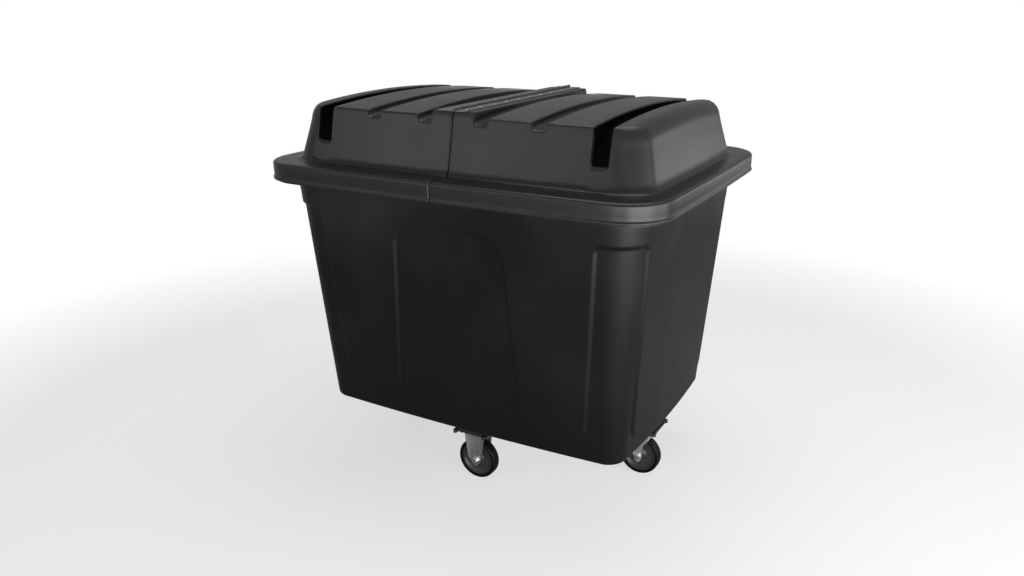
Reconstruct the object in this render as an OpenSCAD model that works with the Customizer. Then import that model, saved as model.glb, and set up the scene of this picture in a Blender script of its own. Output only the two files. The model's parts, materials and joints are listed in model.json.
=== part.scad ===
// Wheeled bulk waste truck: a moulded tub on four casters, under a domed lid in two hinged halves.
// Millimetres. X runs along the length, Y across it, Z up. The origin is on the floor under the tub's middle.

/* [Tub] */
// Length over the tub's walls at the top of its rim
tub_top_l = 1042; // [980:1:1100]
// Width over the tub's walls at the top of its rim
tub_top_w = 742; // [690:1:800]
// Length over the tub's walls at its floor
tub_base_l = 944; // [910:1:970]
// Width over the tub's walls at its floor
tub_base_w = 652; // [630:1:690]
// Height from the underside of the floor to the top of the rim
tub_h = 699; // [650:1:750]
// Radius of the upright corners at the top of the walls
tub_corner_r = 78; // [66:1:90]
// Radius of the upright corners at the floor
tub_base_corner_r = 46; // [38:1:60]
// Radius between the floor and the walls
tub_foot_r = 12; // [9:1:20]
// Thickness of the walls and the rim
tub_wall = 5; // [4:0.5:6]
// Thickness of the floor
tub_floor = 7; // [5:0.5:9]
// How far the long walls bow out
tub_side_bow = 12; // [4:1:18]
// How far the end walls bow out at the top
tub_end_bow = 6; // [2:1:10]
// How far the end walls bow out at the floor
tub_base_end_bow = 13; // [6:1:16]

/* [Tub panels] */
// How far the band and the panels stand out of the walls
panel_rise = 6; // [4:0.5:8]
// Height of the top band's lower edge above the tub's underside
band_z = 584; // [560:1:600]
// Height of the panels' lower edges above the tub's underside
panel_z = 54; // [46:1:66]
// Bare strip between a long side's panel and the corner
side_margin = 105; // [95:1:120]
// Bare strip between an end's panel and the corner
end_margin = 73; // [66:1:90]
// Rounding of the panels' lower corners
panel_corner_r = 42; // [30:1:50]
// Rounding where a panel runs into the top band
panel_fillet_r = 14; // [8:1:20]
// Width of the arched recess at the tub's floor
arch_base_w = 400; // [360:1:420]
// Width of the arched recess at the top band
arch_top_w = 312; // [280:1:330]
// Height of the arch's crown above the tub's underside
arch_z = 581; // [550:1:600]
// Radius of the arch's curve
arch_r = 490; // [420:1:600]
// Rounding of the arch's shoulders
arch_shoulder_r = 34; // [26:1:42]

/* [Rim] */
// How far the rim stands out of the walls
rim_out = 46; // [40:1:52]
// Height of the rim's turned-down skirt
rim_skirt_h = 48; // [40:1:54]
// Rounding of the rim's top edges
rim_edge_r = 6; // [4:0.5:8]

/* [Lid] */
// Thickness of the lid's wall
lid_wall = 4.5; // [3.5:0.5:5.5]
// Radius of the brim's corners
lid_corner_r = 110; // [100:1:120]
// Height of the brim's skirt below the brim's top
lid_skirt_h = 48; // [42:1:52]
// Rounding of the brim's outer edge
lid_edge_r = 8; // [6:1:14]
// Width of the brim at the lid's ends
brim_end_w = 59; // [54:1:70]
// Width of the brim along the lid's sides
brim_side_w = 83; // [74:1:90]
// Height of the dome's crown above the brim
dome_h = 157; // [146:1:170]
// Lean of the dome's end walls, in degrees
dome_end_lean = 12; // [9:1:16]
// Lean of the dome's side walls, in degrees
dome_side_lean = 11; // [8:1:14]
// Radius of the dome's upright corners
dome_corner_r = 74; // [60:1:84]
// Rounding between the dome's end walls and its top
dome_end_round = 42; // [30:1:50]
// Fillet between the brim and the dome
dome_fillet = 8; // [5:1:12]
// Rise of the dome's top from its long edges to its middle
crown_h = 15; // [10:1:18]

/* [Lid grooves] */
// Distance of the first groove's middle from the split
groove_first_x = 81; // [78:1:86]
// Distance between the middles of neighbouring grooves
groove_pitch = 159; // [152:1:162]
// Number of grooves in each half, of which the last opens into a deep mouth
groove_count = 3; // [3:1:3]
// Width of a groove
groove_w = 43; // [36:1:48]
// Depth of a groove
groove_depth = 18; // [12:1:22]
// Rounding of a groove's floor
groove_floor_r = 10; // [6:1:12]
// Width of the last groove
mouth_w = 47; // [42:1:50]
// Depth of the last groove where it runs out through the side walls
mouth_depth = 93; // [80:1:105]
// Length of the ramp up from the mouth
mouth_ramp = 105; // [90:1:130]

/* [Hinge] */
// Outside diameter of the knuckles
knuckle_d = 8; // [7:0.5:9]
// Diameter of the hinge pin
hinge_pin_d = 4; // [3:0.5:5]
// Width of a leaf, from the pin's axis to its edge
leaf_w = 38; // [32:1:44]
// Thickness of a leaf
leaf_t = 2; // [1.5:0.5:2.5]
// Number of knuckles on each leaf
knuckle_count = 20; // [14:1:24]
// Number of rivets in each leaf
rivet_count = 10; // [6:1:12]
// Diameter of a rivet
rivet_d = 5; // [4:0.5:6]
// Diameter of a rivet's head
rivet_head_d = 9; // [8:0.5:10]
// Height of a rivet's head
rivet_head_h = 1.5; // [1:0.5:1.5]

/* [Casters] */
// Diameter of the wheels
wheel_d = 118; // [108:1:119]
// Width of the tyres
wheel_w = 28; // [26:1:34]
// Thickness of the tyres
tyre_t = 10; // [8:0.5:12]
// Width of the wheels' hubs
hub_w = 36; // [35:0.5:40]
// Diameter of the wheels' hubs
hub_d = 30; // [26:1:36]
// Thickness of the wheels' webs
web_t = 12; // [8:1:16]
// Outside diameter of the bushes in the hubs
bush_d = 16; // [14:0.5:18]
// Diameter of the axle bolts
axle_d = 10; // [8:0.5:11]
// Height of the caster plates' top faces above the floor
caster_h = 149; // [145:1:156]
// Length of a caster plate along the tub's edge
plate_l = 98; // [94:1:106]
// Width of a caster plate
plate_w = 64; // [60:1:70]
// Thickness of a caster plate
plate_t = 4; // [3:0.5:5]
// Thickness of the forks' legs
fork_t = 3.2; // [2.5:0.1:4]
// Width of a rigid fork's leg at its plate
rigid_leg_w = 62; // [56:1:62]
// Width of a swivel fork's leg at its crown
swivel_leg_w = 42; // [38:1:50]
// Width of a rigid fork's leg at the axle
rigid_leg_end_w = 41; // [34:1:44]
// Width of a swivel fork's leg at the axle
swivel_leg_end_w = 27; // [24:1:30]
// Radius of a leg's lower end
leg_end_r = 9; // [7:0.5:11]
// Width of the turned-out edges of a leg
leg_rib_w = 4; // [3:0.5:5]
// How far the turned-out edges stand off a leg
leg_rib_h = 2.5; // [1.5:0.5:3.5]
// Distance of the rigid wheels from the tub's middle
rigid_y = 238; // [225:1:248]
// Distance of the swivel axes from the tub's middle
swivel_x = 414; // [400:1:420]
// Distance of a swivel wheel's axle behind its swivel axis
trail = 16; // [12:1:24]
// Diameter of the balls in the swivel heads
ball_d = 7; // [6:0.5:8]
// Diameter of the circle of balls
race_d = 44; // [40:1:48]
// Number of balls in a swivel head
ball_count = 16; // [12:1:16]
// Diameter of the king pins
king_pin_d = 12; // [10:0.5:14]
// Thickness of a swivel fork's crown
crown_t = 4; // [3:0.5:5]

/* [Caster pads and feet] */
// Length of a pad along the tub's edge
pad_l = 104; // [100:1:112]
// Width of a pad
pad_w = 80; // [74:1:84]
// Thickness of a pad
pad_t = 9; // [7:0.5:11]
// Rounding of a pad's corners
pad_corner_r = 5; // [3:0.5:8]
// Width of the ears on a pad's outer edge
ear_w = 11; // [9:0.5:13]
// How far the ears stand out of a pad
ear_out = 13; // [8:0.5:16]
// The same for the pads under the tub's ends
end_ear_out = 5; // [4:0.5:8]
// Height of the tub's moulded feet
foot_h = 28; // [24:1:36]
// How much wider a foot is than its pad, all round, at the tub's floor
foot_flare = 4; // [2:0.5:6]

/* [Fasteners] */
// Diameter of the caster bolts
bolt_d = 8; // [6:0.5:9]
// Distance between the caster bolts along the plate
bolt_space_l = 80; // [78:1:82]
// Distance between the caster bolts across the plate
bolt_space_w = 44; // [40:1:46]
// Width across the flats of the caster bolts and nuts
bolt_af = 13; // [11:0.5:14]
// Height of the caster bolts' heads
bolt_head_h = 5.5; // [4:0.5:6]
// Height of the caster nuts
bolt_nut_h = 6.5; // [5:0.5:8]
// How far a bolt stands out of its nut
bolt_tail = 3; // [2:0.5:5]
// Width across the flats of the axle bolts and nuts
axle_af = 15; // [13:0.5:17]
// Height of the axle bolts' heads
axle_head_h = 6; // [4:0.5:7]
// Height of the axle nuts
axle_nut_h = 7; // [6:0.5:9]

/* [Clearances] */
// Between the lid's skirt and the tub's rim
lid_gap = 6; // [4:0.5:8]
// Between the lid's brim and the top of the rim it rests on
seat_gap = 0.3; // [0.2:0.1:0.5]
// Between the two halves of the lid, at the split
split_gap = 1.6; // [1.2:0.2:2.4]
// Height of the hinge's axis above the dome's crown
hinge_clear = 1.2; // [1:0.1:2]
// Between neighbouring knuckles
knuckle_gap = 0.4; // [0.3:0.1:0.6]
// Around a knuckle that turns in the other leaf's cut-out
knuckle_clear = 0.6; // [0.4:0.1:1]
// Between a hub's end and a fork's leg
hub_clear = 1.2; // [0.8:0.1:2]
// Radial, around a shaft that turns
run_fit = 0.08; // [0.04:0.01:0.1]
// Radial, around a piece that is pushed in and stays
push_fit = 0.05; // [0.02:0.01:0.1]
// Radial, around a bolt or rivet in its hole
bolt_fit = 0.25; // [0.2:0.05:0.5]
// Between the balls and their upper race
ball_clear = 0.2; // [0.1:0.05:0.4]
// Between the swivel head's skirt and the fork's crown
skirt_clear = 1; // [0.6:0.1:2]

/* [Hidden] */

// Segments of a lofted outline's corners and sides, and of its rounded edges
corner_n = 8;
side_n = 6;
edge_n = 3;
// A length that cuts well past what it cuts, and a sliver for clean cuts
past = 2000;
eps = 0.01;

plastic = [0.07, 0.07, 0.075];
pad_black = [0.03, 0.03, 0.03];
rubber = [0.10, 0.10, 0.10];
zinc = [0.72, 0.73, 0.75];
steel = [0.60, 0.61, 0.63];
brass = [0.70, 0.62, 0.42];

wheel_r = wheel_d / 2;

// Heights, from the floor up
pad_z = caster_h;
foot_z = pad_z + pad_t;
tub_z = foot_z + foot_h;
rim_z = tub_z + tub_h;
brim_z = rim_z + seat_gap + lid_wall;
lip_z = brim_z - lid_skirt_h;
crown_z = brim_z + dome_h;
hinge_z = crown_z + hinge_clear;
plateau_z = hinge_z - knuckle_d / 2;

// Half sizes of the rim and the brim
rim_half_l = tub_top_l / 2 + rim_out;
rim_half_w = tub_top_w / 2 + rim_out;
rim_corner_r = lid_corner_r - lid_wall - lid_gap;
lid_half_l = rim_half_l + lid_gap + lid_wall;
lid_half_w = rim_half_w + lid_gap + lid_wall;
lid_draft = 2;

// Half sizes of the dome at the brim, and what its walls lose up to the crown
dome_half_l = lid_half_l - brim_end_w;
dome_half_w = lid_half_w - brim_side_w;
dome_top_half_w = dome_half_w - dome_h * tan(dome_side_lean);
dome_end_bow = tub_end_bow / 2;
dome_side_bow = tub_side_bow / 2;
crown_r = (dome_top_half_w * dome_top_half_w + crown_h * crown_h) / (2 * crown_h);
crown_fn = 360;
// The dome's walls run past the crown by this much before the crown cuts them
crown_over = 1.5;

// The last groove's middle, and the depth of its floor along the crown
mouth_x = groove_first_x + (groove_count - 1) * groove_pitch;
mouth_floor_depth = groove_depth + 4;

// Along the hinge
hinge_l = 2 * (dome_top_half_w + dome_side_bow) - 8;
knuckle_pitch = hinge_l / knuckle_count;
knuckle_l = knuckle_pitch / 2 - knuckle_gap;
rivet_x = (leaf_w + knuckle_d / 2 + knuckle_clear) / 2;

// Along a caster's axle
leg_in = hub_w / 2 + hub_clear;
leg_out = leg_in + fork_t;
axle_seat = leg_out + eps;

// Up a swivel head
crown_top_z = caster_h - plate_t - 17;
race_low_z = crown_top_z + 3;
ball_z = race_low_z + ball_d / 2 - 1.5;
race_high_z = ball_z + 1;
skirt_od = race_d + ball_d + 9;
crown_od = race_d + ball_d + 3;
king_head_z = crown_top_z - crown_t - 5;

// Outlines

function arc(cx, cy, r, from) =
    [for (i = [0:corner_n]) [cx + r * cos(from + 90 * i / corner_n), cy + r * sin(from + 90 * i / corner_n)]];

function between(p, q) = [for (i = [1:side_n - 1]) p + (q - p) * i / side_n];

// Rounded rectangle of half sizes a and b by its corners alone
function corners(a, b, r) =
    let (x = a - r, y = b - r)
    concat(arc(x, y, r, 0), arc(-x, y, r, 90), arc(-x, -y, r, 180), arc(x, -y, r, 270));

// Rounded rectangle of half sizes a and b, counter-clockwise
function rounded(a, b, r) =
    let (x = a - r, y = b - r)
    concat(
        arc(x, y, r, 0), between([x, b], [-x, b]),
        arc(-x, y, r, 90), between([-a, y], [-a, -y]),
        arc(-x, -y, r, 180), between([-x, -b], [x, -b]),
        arc(x, -y, r, 270), between([a, -y], [a, y])
    );

// The same with ends that bow out by ex and sides that bow out by ey, inside the half sizes a and b
function bowed(a, b, r, ex, ey) =
    let (x = a - ex, y = b - ey)
    [for (p = rounded(x, y, r)) [
        p.x * (1 + ex / x * (1 - pow(p.y / y, 2))),
        p.y * (1 + ey / y * (1 - pow(p.x / x, 2)))
    ]];

function level(outline, z) = [for (p = outline) [p.x, p.y, z]];

// A level that sinks towards the long edges as the lid's crown does
function crowned(outline, z) =
    [for (p = outline) [p.x, p.y, z - crown_h * pow(p.y / dome_top_half_w, 2)]];

// Solid through a stack of outlines with equal numbers of points
module loft(rings) {
    n = len(rings[0]);
    m = len(rings);
    polyhedron(
        points = [for (ring = rings) each ring],
        faces = concat(
            [[for (i = [0:n - 1]) i]],
            [for (j = [0:m - 2]) for (i = [0:n - 1]) [j * n + i, (j + 1) * n + i, (j + 1) * n + (i + 1) % n]],
            [for (j = [0:m - 2]) for (i = [0:n - 1]) [j * n + i, (j + 1) * n + (i + 1) % n, j * n + (i + 1) % n]],
            [[for (i = [n - 1:-1:0]) (m - 1) * n + i]]
        )
    );
}

// A moulding is one skin, with all its panels and grooves in it
module moulded() { resize([0, 0, 0]) children(); }

// Tub

// Half length and half width of the tub's walls at a height above its underside
function tub_half_l(h) = tub_base_l / 2 + (tub_top_l - tub_base_l) / 2 * h / tub_h;
function tub_half_w(h) = tub_base_w / 2 + (tub_top_w - tub_base_w) / 2 * h / tub_h;

// Radius of the upright corners at a height above the tub's underside
function tub_corner(h) = tub_base_corner_r + (tub_corner_r - tub_base_corner_r) * h / tub_h;

// How far the end walls bow out at a height above the tub's underside
function tub_bow(h) = tub_base_end_bow + (tub_end_bow - tub_base_end_bow) * h / tub_h;

// Outline of the tub at a height above its underside, moved out by grow
function tub_outline(h, grow) =
    bowed(tub_half_l(h) + grow, tub_half_w(h) + grow, tub_corner(h) + grow, tub_bow(h), tub_side_bow);

// Solid inside the tub's walls moved out by grow, from a height to the top, with a rounded foot
module tub_block(grow, from, to, foot_r) {
    loft(concat(
        [for (i = [0:edge_n])
            let (turn = 90 * i / edge_n)
            level(
                tub_outline(from + foot_r, grow - foot_r * (1 - sin(turn))),
                tub_z + from + foot_r * (1 - cos(turn))
            )],
        [level(tub_outline(to, grow), tub_z + to)]
    ));
}

// Face of the raised band and panel of one wall: half width at the floor and at the band
module raised_face(base_half, band_half) {
    offset(r = -panel_fillet_r) offset(delta = panel_fillet_r)
        offset(r = panel_corner_r) offset(delta = -panel_corner_r)
            difference() {
                union() {
                    translate([-past / 2, band_z]) square([past, past / 2]);
                    polygon([
                        [-base_half, panel_z], [base_half, panel_z],
                        [band_half, band_z + panel_corner_r], [-band_half, band_z + panel_corner_r]
                    ]);
                }
                children();
            }
}

module arch_face() {
    offset(r = arch_shoulder_r) offset(delta = -arch_shoulder_r)
        intersection() {
            polygon([
                [-arch_base_w / 2, -arch_r], [arch_base_w / 2, -arch_r],
                [arch_base_w / 2, 0], [arch_top_w / 2, band_z],
                [-arch_top_w / 2, band_z], [-arch_base_w / 2, 0]
            ]);
            translate([0, arch_z - arch_r]) circle(r = arch_r, $fn = 160);
            translate([-past / 2, -arch_r / 2]) square([past, past]);
        }
}

// Prisms along Y and X that pick out the raised band and panels, drawn in by shrink
module raised_prisms(shrink) {
    translate([0, past / 2, tub_z]) rotate([90, 0, 0]) linear_extrude(past)
        offset(delta = -shrink)
            raised_face(tub_half_l(panel_z) - side_margin, tub_half_l(band_z) - side_margin) arch_face();
    translate([-past / 2, 0, tub_z]) rotate([90, 0, 90]) linear_extrude(past)
        offset(delta = -shrink)
            raised_face(tub_half_w(panel_z) - end_margin, tub_half_w(band_z) - end_margin);
}

// The rim: a flange round the top of the walls, with a skirt turned down
module rim() {
    outer = bowed(rim_half_l, rim_half_w, rim_corner_r, tub_end_bow, tub_side_bow);
    outer_top = bowed(
        rim_half_l - rim_edge_r, rim_half_w - rim_edge_r, rim_corner_r - rim_edge_r, tub_end_bow, tub_side_bow
    );
    inner = bowed(
        rim_half_l - tub_wall, rim_half_w - tub_wall, rim_corner_r - tub_wall, tub_end_bow, tub_side_bow
    );
    difference() {
        loft([
            level(outer, rim_z - rim_skirt_h),
            level(outer, rim_z - rim_edge_r),
            level(outer_top, rim_z)
        ]);
        loft([level(inner, rim_z - rim_skirt_h - tub_wall), level(inner, rim_z - tub_wall)]);
    }
}

// A moulded foot's solid, or its hollow when drawn in by shrink
module foot_block(shrink, from_z, to_z) {
    loft([
        level(corners(pad_l / 2 - shrink, pad_w / 2 - shrink, 2 * pad_corner_r - shrink / 2), from_z),
        level(
            corners(
                pad_l / 2 + foot_flare - shrink, pad_w / 2 + foot_flare - shrink,
                2 * pad_corner_r + foot_flare - shrink / 2
            ),
            to_z
        )
    ]);
}

// Repeats what belongs to a caster under all four sides
module at_each_caster() {
    for (side = [-1, 1]) {
        at_rigid(side) children();
        at_swivel(side) children();
    }
}

module tub() {
    color(plastic) moulded() difference() {
        union() {
            tub_block(0, 0, tub_h - tub_wall, tub_foot_r);
            intersection() {
                tub_block(panel_rise, 0, tub_h - tub_wall, tub_foot_r);
                raised_prisms(0);
            }
            rim();
            at_each_caster() foot_block(0, foot_z, tub_z + tub_foot_r);
        }
        tub_block(-tub_wall, tub_floor, tub_h + tub_wall, tub_foot_r - tub_wall);
        intersection() {
            tub_block(panel_rise - tub_wall, tub_floor, tub_h + tub_wall, tub_foot_r - tub_wall);
            raised_prisms(tub_wall);
        }
        at_each_caster() foot_block(tub_wall, foot_z + tub_floor, tub_z + tub_foot_r + eps);
        at_each_caster() bolt_places()
            translate([0, 0, foot_z - 1]) cylinder(r = bolt_d / 2 + bolt_fit, h = tub_floor + 2, $fn = 16);
    }
}

// Lid

// Solid inside the lid's outer skin, or inside its inner skin when drawn in by its wall
module lid_block(inset, foot_z) {
    half_l = lid_half_l - inset;
    half_w = lid_half_w - inset;
    corner = lid_corner_r - inset;
    top_z = brim_z - inset;
    edge_r = lid_edge_r - inset / 2;
    base_l = dome_half_l - inset;
    base_w = dome_half_w - inset;
    dome_r = dome_corner_r - inset;
    rise = dome_h - dome_end_round;
    shoulder_l = base_l - rise * tan(dome_end_lean);
    function side(h) = base_w - h * tan(dome_side_lean);
    function brim(grow) = bowed(half_l + grow, half_w + grow, corner + grow, tub_end_bow, tub_side_bow);
    loft(concat(
        [level(brim(0), foot_z)],
        [for (i = [0:edge_n])
            let (turn = 90 * i / edge_n)
            level(brim(-lid_draft - edge_r * (1 - cos(turn))), top_z - edge_r * (1 - sin(turn)))],
        [level(
            bowed(base_l + dome_fillet, base_w + dome_fillet, dome_r + dome_fillet, dome_end_bow, dome_side_bow),
            top_z
        )],
        [level(
            bowed(base_l + dome_fillet / 4, base_w + dome_fillet / 4, dome_r, dome_end_bow, dome_side_bow),
            top_z + dome_fillet / 4
        )],
        [level(
            bowed(
                base_l - dome_fillet * tan(dome_end_lean), side(dome_fillet), dome_r, dome_end_bow, dome_side_bow
            ),
            top_z + dome_fillet
        )],
        [for (i = [0:edge_n + 1])
            let (turn = 90 * i / (edge_n + 1))
            crowned(
                bowed(
                    shoulder_l - dome_end_round * (1 - cos(turn)),
                    side(rise + dome_end_round * sin(turn)),
                    dome_r - dome_end_round * (1 - cos(turn)) / 2,
                    dome_end_bow, dome_side_bow
                ),
                top_z + rise + dome_end_round * sin(turn) + crown_over * i / (edge_n + 1)
            )],
        [level(
            bowed(
                shoulder_l - dome_end_round, side(dome_h + dome_fillet), dome_r - dome_end_round / 2,
                dome_end_bow, dome_side_bow
            ),
            top_z + dome_h + dome_fillet
        )]
    ));
}

// The lid's skin or its hollow: crowned along the ribs, flat on the plateau that carries the hinge
module lid_form(inset, foot_z) {
    intersection() {
        lid_block(inset, foot_z);
        union() {
            difference() {
                translate([0, 0, crown_z - crown_r]) rotate([0, 90, 0])
                    cylinder(r = crown_r - inset, h = past, center = true, $fn = crown_fn);
                cube([2 * groove_first_x, past, 4 * past], center = true);
            }
            translate([-groove_first_x - groove_floor_r, -past / 2, 0])
                cube([2 * (groove_first_x + groove_floor_r), past, plateau_z - inset]);
        }
    }
}

// Ring swept along the crown that cuts a shallow groove, or lines it when grown by a wall
module groove_ring(x, grow) {
    half = groove_w / 2 + grow;
    deep = groove_depth + grow;
    round_r = groove_floor_r + grow;
    translate([x, 0, crown_z - crown_r]) rotate([0, 90, 0]) rotate_extrude($fn = crown_fn)
        translate([crown_r - deep, 0]) {
            translate([round_r, -half]) square([deep + past / 10, 2 * half]);
            translate([0, -half + round_r]) square([round_r + 1, 2 * (half - round_r)]);
            for (end = [-1, 1])
                translate([round_r, end * (half - round_r)]) circle(r = round_r, $fn = 24);
        }
}

// Height of the crown over a distance from the lid's middle, and of the last groove's floor
function crown_at(y) = crown_z - crown_r + sqrt(crown_r * crown_r - y * y);
function mouth_floor(y) =
    let (
        start = dome_top_half_w - mouth_ramp,
        run = max(0, abs(y) - start) / mouth_ramp
    )
    crown_at(y) - mouth_floor_depth - (mouth_depth - crown_h - mouth_floor_depth) * pow(run, 1.4);

// Saddle-shaped cut of the last groove, or its lining when grown by a wall
module mouth_cut(x, grow) {
    reach = dome_half_w + dome_fillet;
    step = reach / 16;
    translate([x - mouth_w / 2 - grow, 0, 0]) rotate([90, 0, 90]) linear_extrude(mouth_w + 2 * grow)
        polygon(concat(
            [for (y = [-reach:step:reach + eps]) [y, mouth_floor(y) - grow]],
            [[reach, crown_z + past / 10], [-reach, crown_z + past / 10]]
        ));
}

// All cuts of the lid's right half
module groove_cuts(grow) {
    for (i = [0:groove_count - 2])
        groove_ring(groove_first_x + i * groove_pitch, grow);
    mouth_cut(mouth_x, grow);
}

module lid_half() {
    difference() {
        intersection() {
            union() {
                difference() {
                    lid_form(0, lip_z);
                    lid_form(lid_wall, lip_z - lid_wall);
                }
                intersection() {
                    lid_form(0, lip_z);
                    groove_cuts(lid_wall);
                }
            }
            translate([split_gap / 2, -past / 2, 0]) cube([past, past, past]);
        }
        groove_cuts(0);
        rivet_places()
            translate([0, 0, plateau_z - 2 * lid_wall])
                cylinder(r = rivet_d / 2 + bolt_fit, h = 3 * lid_wall, $fn = 16);
    }
}

module lid_left() { color(plastic) mirror([1, 0, 0]) moulded() lid_half(); }
module lid_right() { color(plastic) moulded() lid_half(); }

// Hinge

module along_hinge(z) { translate([0, 0, z]) rotate([90, 0, 0]) children(); }

module rivet_places() {
    for (i = [0:rivet_count - 1])
        translate([rivet_x, hinge_l * ((i + 0.5) / rivet_count - 0.5), 0]) children();
}

// Middle of a knuckle: the right leaf's knuckles alternate with the left leaf's
function knuckle_y(i, own) = hinge_l * ((i + (own ? 0.25 : 0.75)) / knuckle_count - 0.5);

// Right leaf. The left one is the same, mirrored, with its knuckles a half pitch on
module hinge_leaf(own) {
    barrel_r = knuckle_d / 2;
    free_l = knuckle_l + 2 * knuckle_gap;
    difference() {
        union() {
            translate([0, -hinge_l / 2, plateau_z]) cube([leaf_w, hinge_l, leaf_t]);
            for (i = [0:knuckle_count - 1])
                translate([0, knuckle_y(i, own), 0]) along_hinge(hinge_z)
                    cylinder(d = knuckle_d, h = knuckle_l, center = true, $fn = 32);
        }
        for (i = [0:knuckle_count - 1])
            translate([0, knuckle_y(i, !own), 0]) along_hinge(hinge_z)
                cylinder(r = barrel_r + knuckle_clear, h = free_l, center = true, $fn = 32);
        translate([-barrel_r - eps, -hinge_l / 2 - eps, plateau_z - eps])
            leaf_root_cuts(own);
        along_hinge(hinge_z)
            cylinder(r = hinge_pin_d / 2 + run_fit, h = past, center = true, $fn = 32);
        rivet_places()
            translate([0, 0, plateau_z - 1])
                cylinder(r = rivet_d / 2 + bolt_fit, h = leaf_t + 2, $fn = 24);
    }
}

// Clears the gaps between knuckles at the leaf's root
module leaf_root_cuts(own) {
    root = knuckle_d / 2 + eps;
    for (i = [0:knuckle_count])
        translate([0, i * knuckle_pitch + (own ? 0.25 : -0.25) * knuckle_pitch + knuckle_l / 2, 0])
            cube([root + knuckle_d / 2 + knuckle_clear, knuckle_pitch - knuckle_l, leaf_t + 2 * eps]);
}

module hinge_leaf_left() { color(steel) mirror([1, 0, 0]) hinge_leaf(false); }
module hinge_leaf_right() { color(steel) hinge_leaf(true); }

module hinge_pin() {
    color(steel) along_hinge(hinge_z) cylinder(d = hinge_pin_d, h = hinge_l + 2, center = true, $fn = 32);
}

module hinge_rivets() {
    rivet_places() {
        translate([0, 0, plateau_z - lid_wall]) cylinder(d = rivet_d, h = lid_wall + leaf_t, $fn = 24);
        translate([0, 0, plateau_z + leaf_t]) cylinder(d1 = rivet_head_d, d2 = rivet_d, h = rivet_head_h, $fn = 24);
        translate([0, 0, plateau_z - lid_wall - rivet_head_h])
            cylinder(d = rivet_head_d, h = rivet_head_h, $fn = 24);
    }
}

module hinge_rivets_left() { color(steel) mirror([1, 0, 0]) hinge_rivets(); }
module hinge_rivets_right() { color(steel) hinge_rivets(); }

// Casters
// In its own frame a caster stands at the origin, with its plate's long side along X
// and the tub's edge on the side of -Y. A rigid wheel's axle lies along Y.

module at_rigid(side) {
    translate([0, side * rigid_y, 0]) mirror([0, side > 0 ? 1 : 0, 0]) children();
}

// The plate's long side lies along the tub's end
module at_swivel(side) {
    mirror([side < 0 ? 1 : 0, 0, 0]) translate([swivel_x, 0, 0]) rotate([0, 0, 90]) children();
}

// A swivel wheel's frame: the axle lies along Y and trails towards the tub's middle
module at_swivel_wheel(side) {
    mirror([side < 0 ? 1 : 0, 0, 0]) translate([swivel_x - trail, 0, 0]) children();
}

module bolt_places() {
    for (x = [-1, 1])
        for (y = [-1, 1])
            translate([x * bolt_space_l / 2, y * bolt_space_w / 2, 0]) children();
}

module bolt_holes(z, h) {
    bolt_places() translate([0, 0, z - eps]) cylinder(r = bolt_d / 2 + bolt_fit, h = h + 2 * eps, $fn = 32);
}

module rounded_plate(l, w, r, h) {
    linear_extrude(h) {
        square([l - 2 * r, w], center = true);
        square([l, w - 2 * r], center = true);
        for (x = [-1, 1])
            for (y = [-1, 1])
                translate([x * (l / 2 - r), y * (w / 2 - r)]) circle(r = r, $fn = 24);
    }
}

module caster_pad(out) {
    ear_x = pad_l / 2 - ear_w / 2;
    color(pad_black) difference() {
        union() {
            translate([0, 0, pad_z]) rounded_plate(pad_l, pad_w, pad_corner_r, pad_t);
            for (x = [-ear_x, ear_x])
                translate([x, -pad_w / 2, pad_z]) linear_extrude(pad_t) {
                    translate([-ear_w / 2, -out + ear_w / 2])
                        square([ear_w, out + pad_corner_r - ear_w / 2]);
                    translate([0, -out + ear_w / 2]) circle(d = ear_w, $fn = 32);
                }
        }
        bolt_holes(pad_z, pad_t);
    }
}

module caster_bolts() {
    tail_z = foot_z + tub_floor + bolt_nut_h + bolt_tail;
    color(zinc) bolt_places() {
        translate([0, 0, caster_h - plate_t]) cylinder(d = bolt_d, h = tail_z - caster_h + plate_t, $fn = 32);
        translate([0, 0, caster_h - plate_t - bolt_head_h])
            cylinder(d = bolt_af / cos(30), h = bolt_head_h, $fn = 6);
    }
}

module caster_nuts() {
    color(zinc) bolt_places() translate([0, 0, foot_z + tub_floor]) difference() {
        rotate([0, 0, 30]) cylinder(d = bolt_af / cos(30), h = bolt_nut_h, $fn = 6);
        translate([0, 0, -1]) cylinder(r = bolt_d / 2 + push_fit, h = bolt_nut_h + 2, $fn = 32);
    }
}

// Up a leg from its axle to its head: shares of the height, of the width it gains, and of its lean
LEG = [[0.05, 0, 0], [0.3, 0.35, -0.15], [0.55, 0.6, -0.2], [0.85, 0.85, 0.75], [1, 1, 1]];

// Half outline of a leg, from its axle up to its head: [x, z] pairs
function leg_side(head_w, end_w, head_z, lean) = [
    for (step = LEG) [
        end_w / 2 + step[1] * (head_w - end_w) / 2 + step[2] * lean,
        wheel_r + step[0] * (head_z - wheel_r)
    ]
];

// Middle of a leg's round lower end, and the place where the straight edge from p runs into it
leg_end_z = wheel_r - leg_end_r;
function leg_end(p) =
    let (turn = atan2(p.y - leg_end_z, p.x) - acos(leg_end_r / norm([p.x, p.y - leg_end_z])))
    [leg_end_r * cos(turn), leg_end_z + leg_end_r * sin(turn)];

// A fork's leg seen along the axle. Its head stands off the axle by lean
module leg_face(head_w, end_w, head_z, lean) {
    right = leg_side(head_w, end_w, head_z, lean);
    left = [for (p = leg_side(head_w, end_w, head_z, -lean)) [-p.x, p.y]];
    low = leg_end(right[0]);
    polygon(concat([low], right, [for (i = [len(left) - 1:-1:0]) left[i]], [[-low.x, low.y]]));
    translate([0, leg_end_z]) circle(r = leg_end_r, $fn = 32);
}

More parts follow.
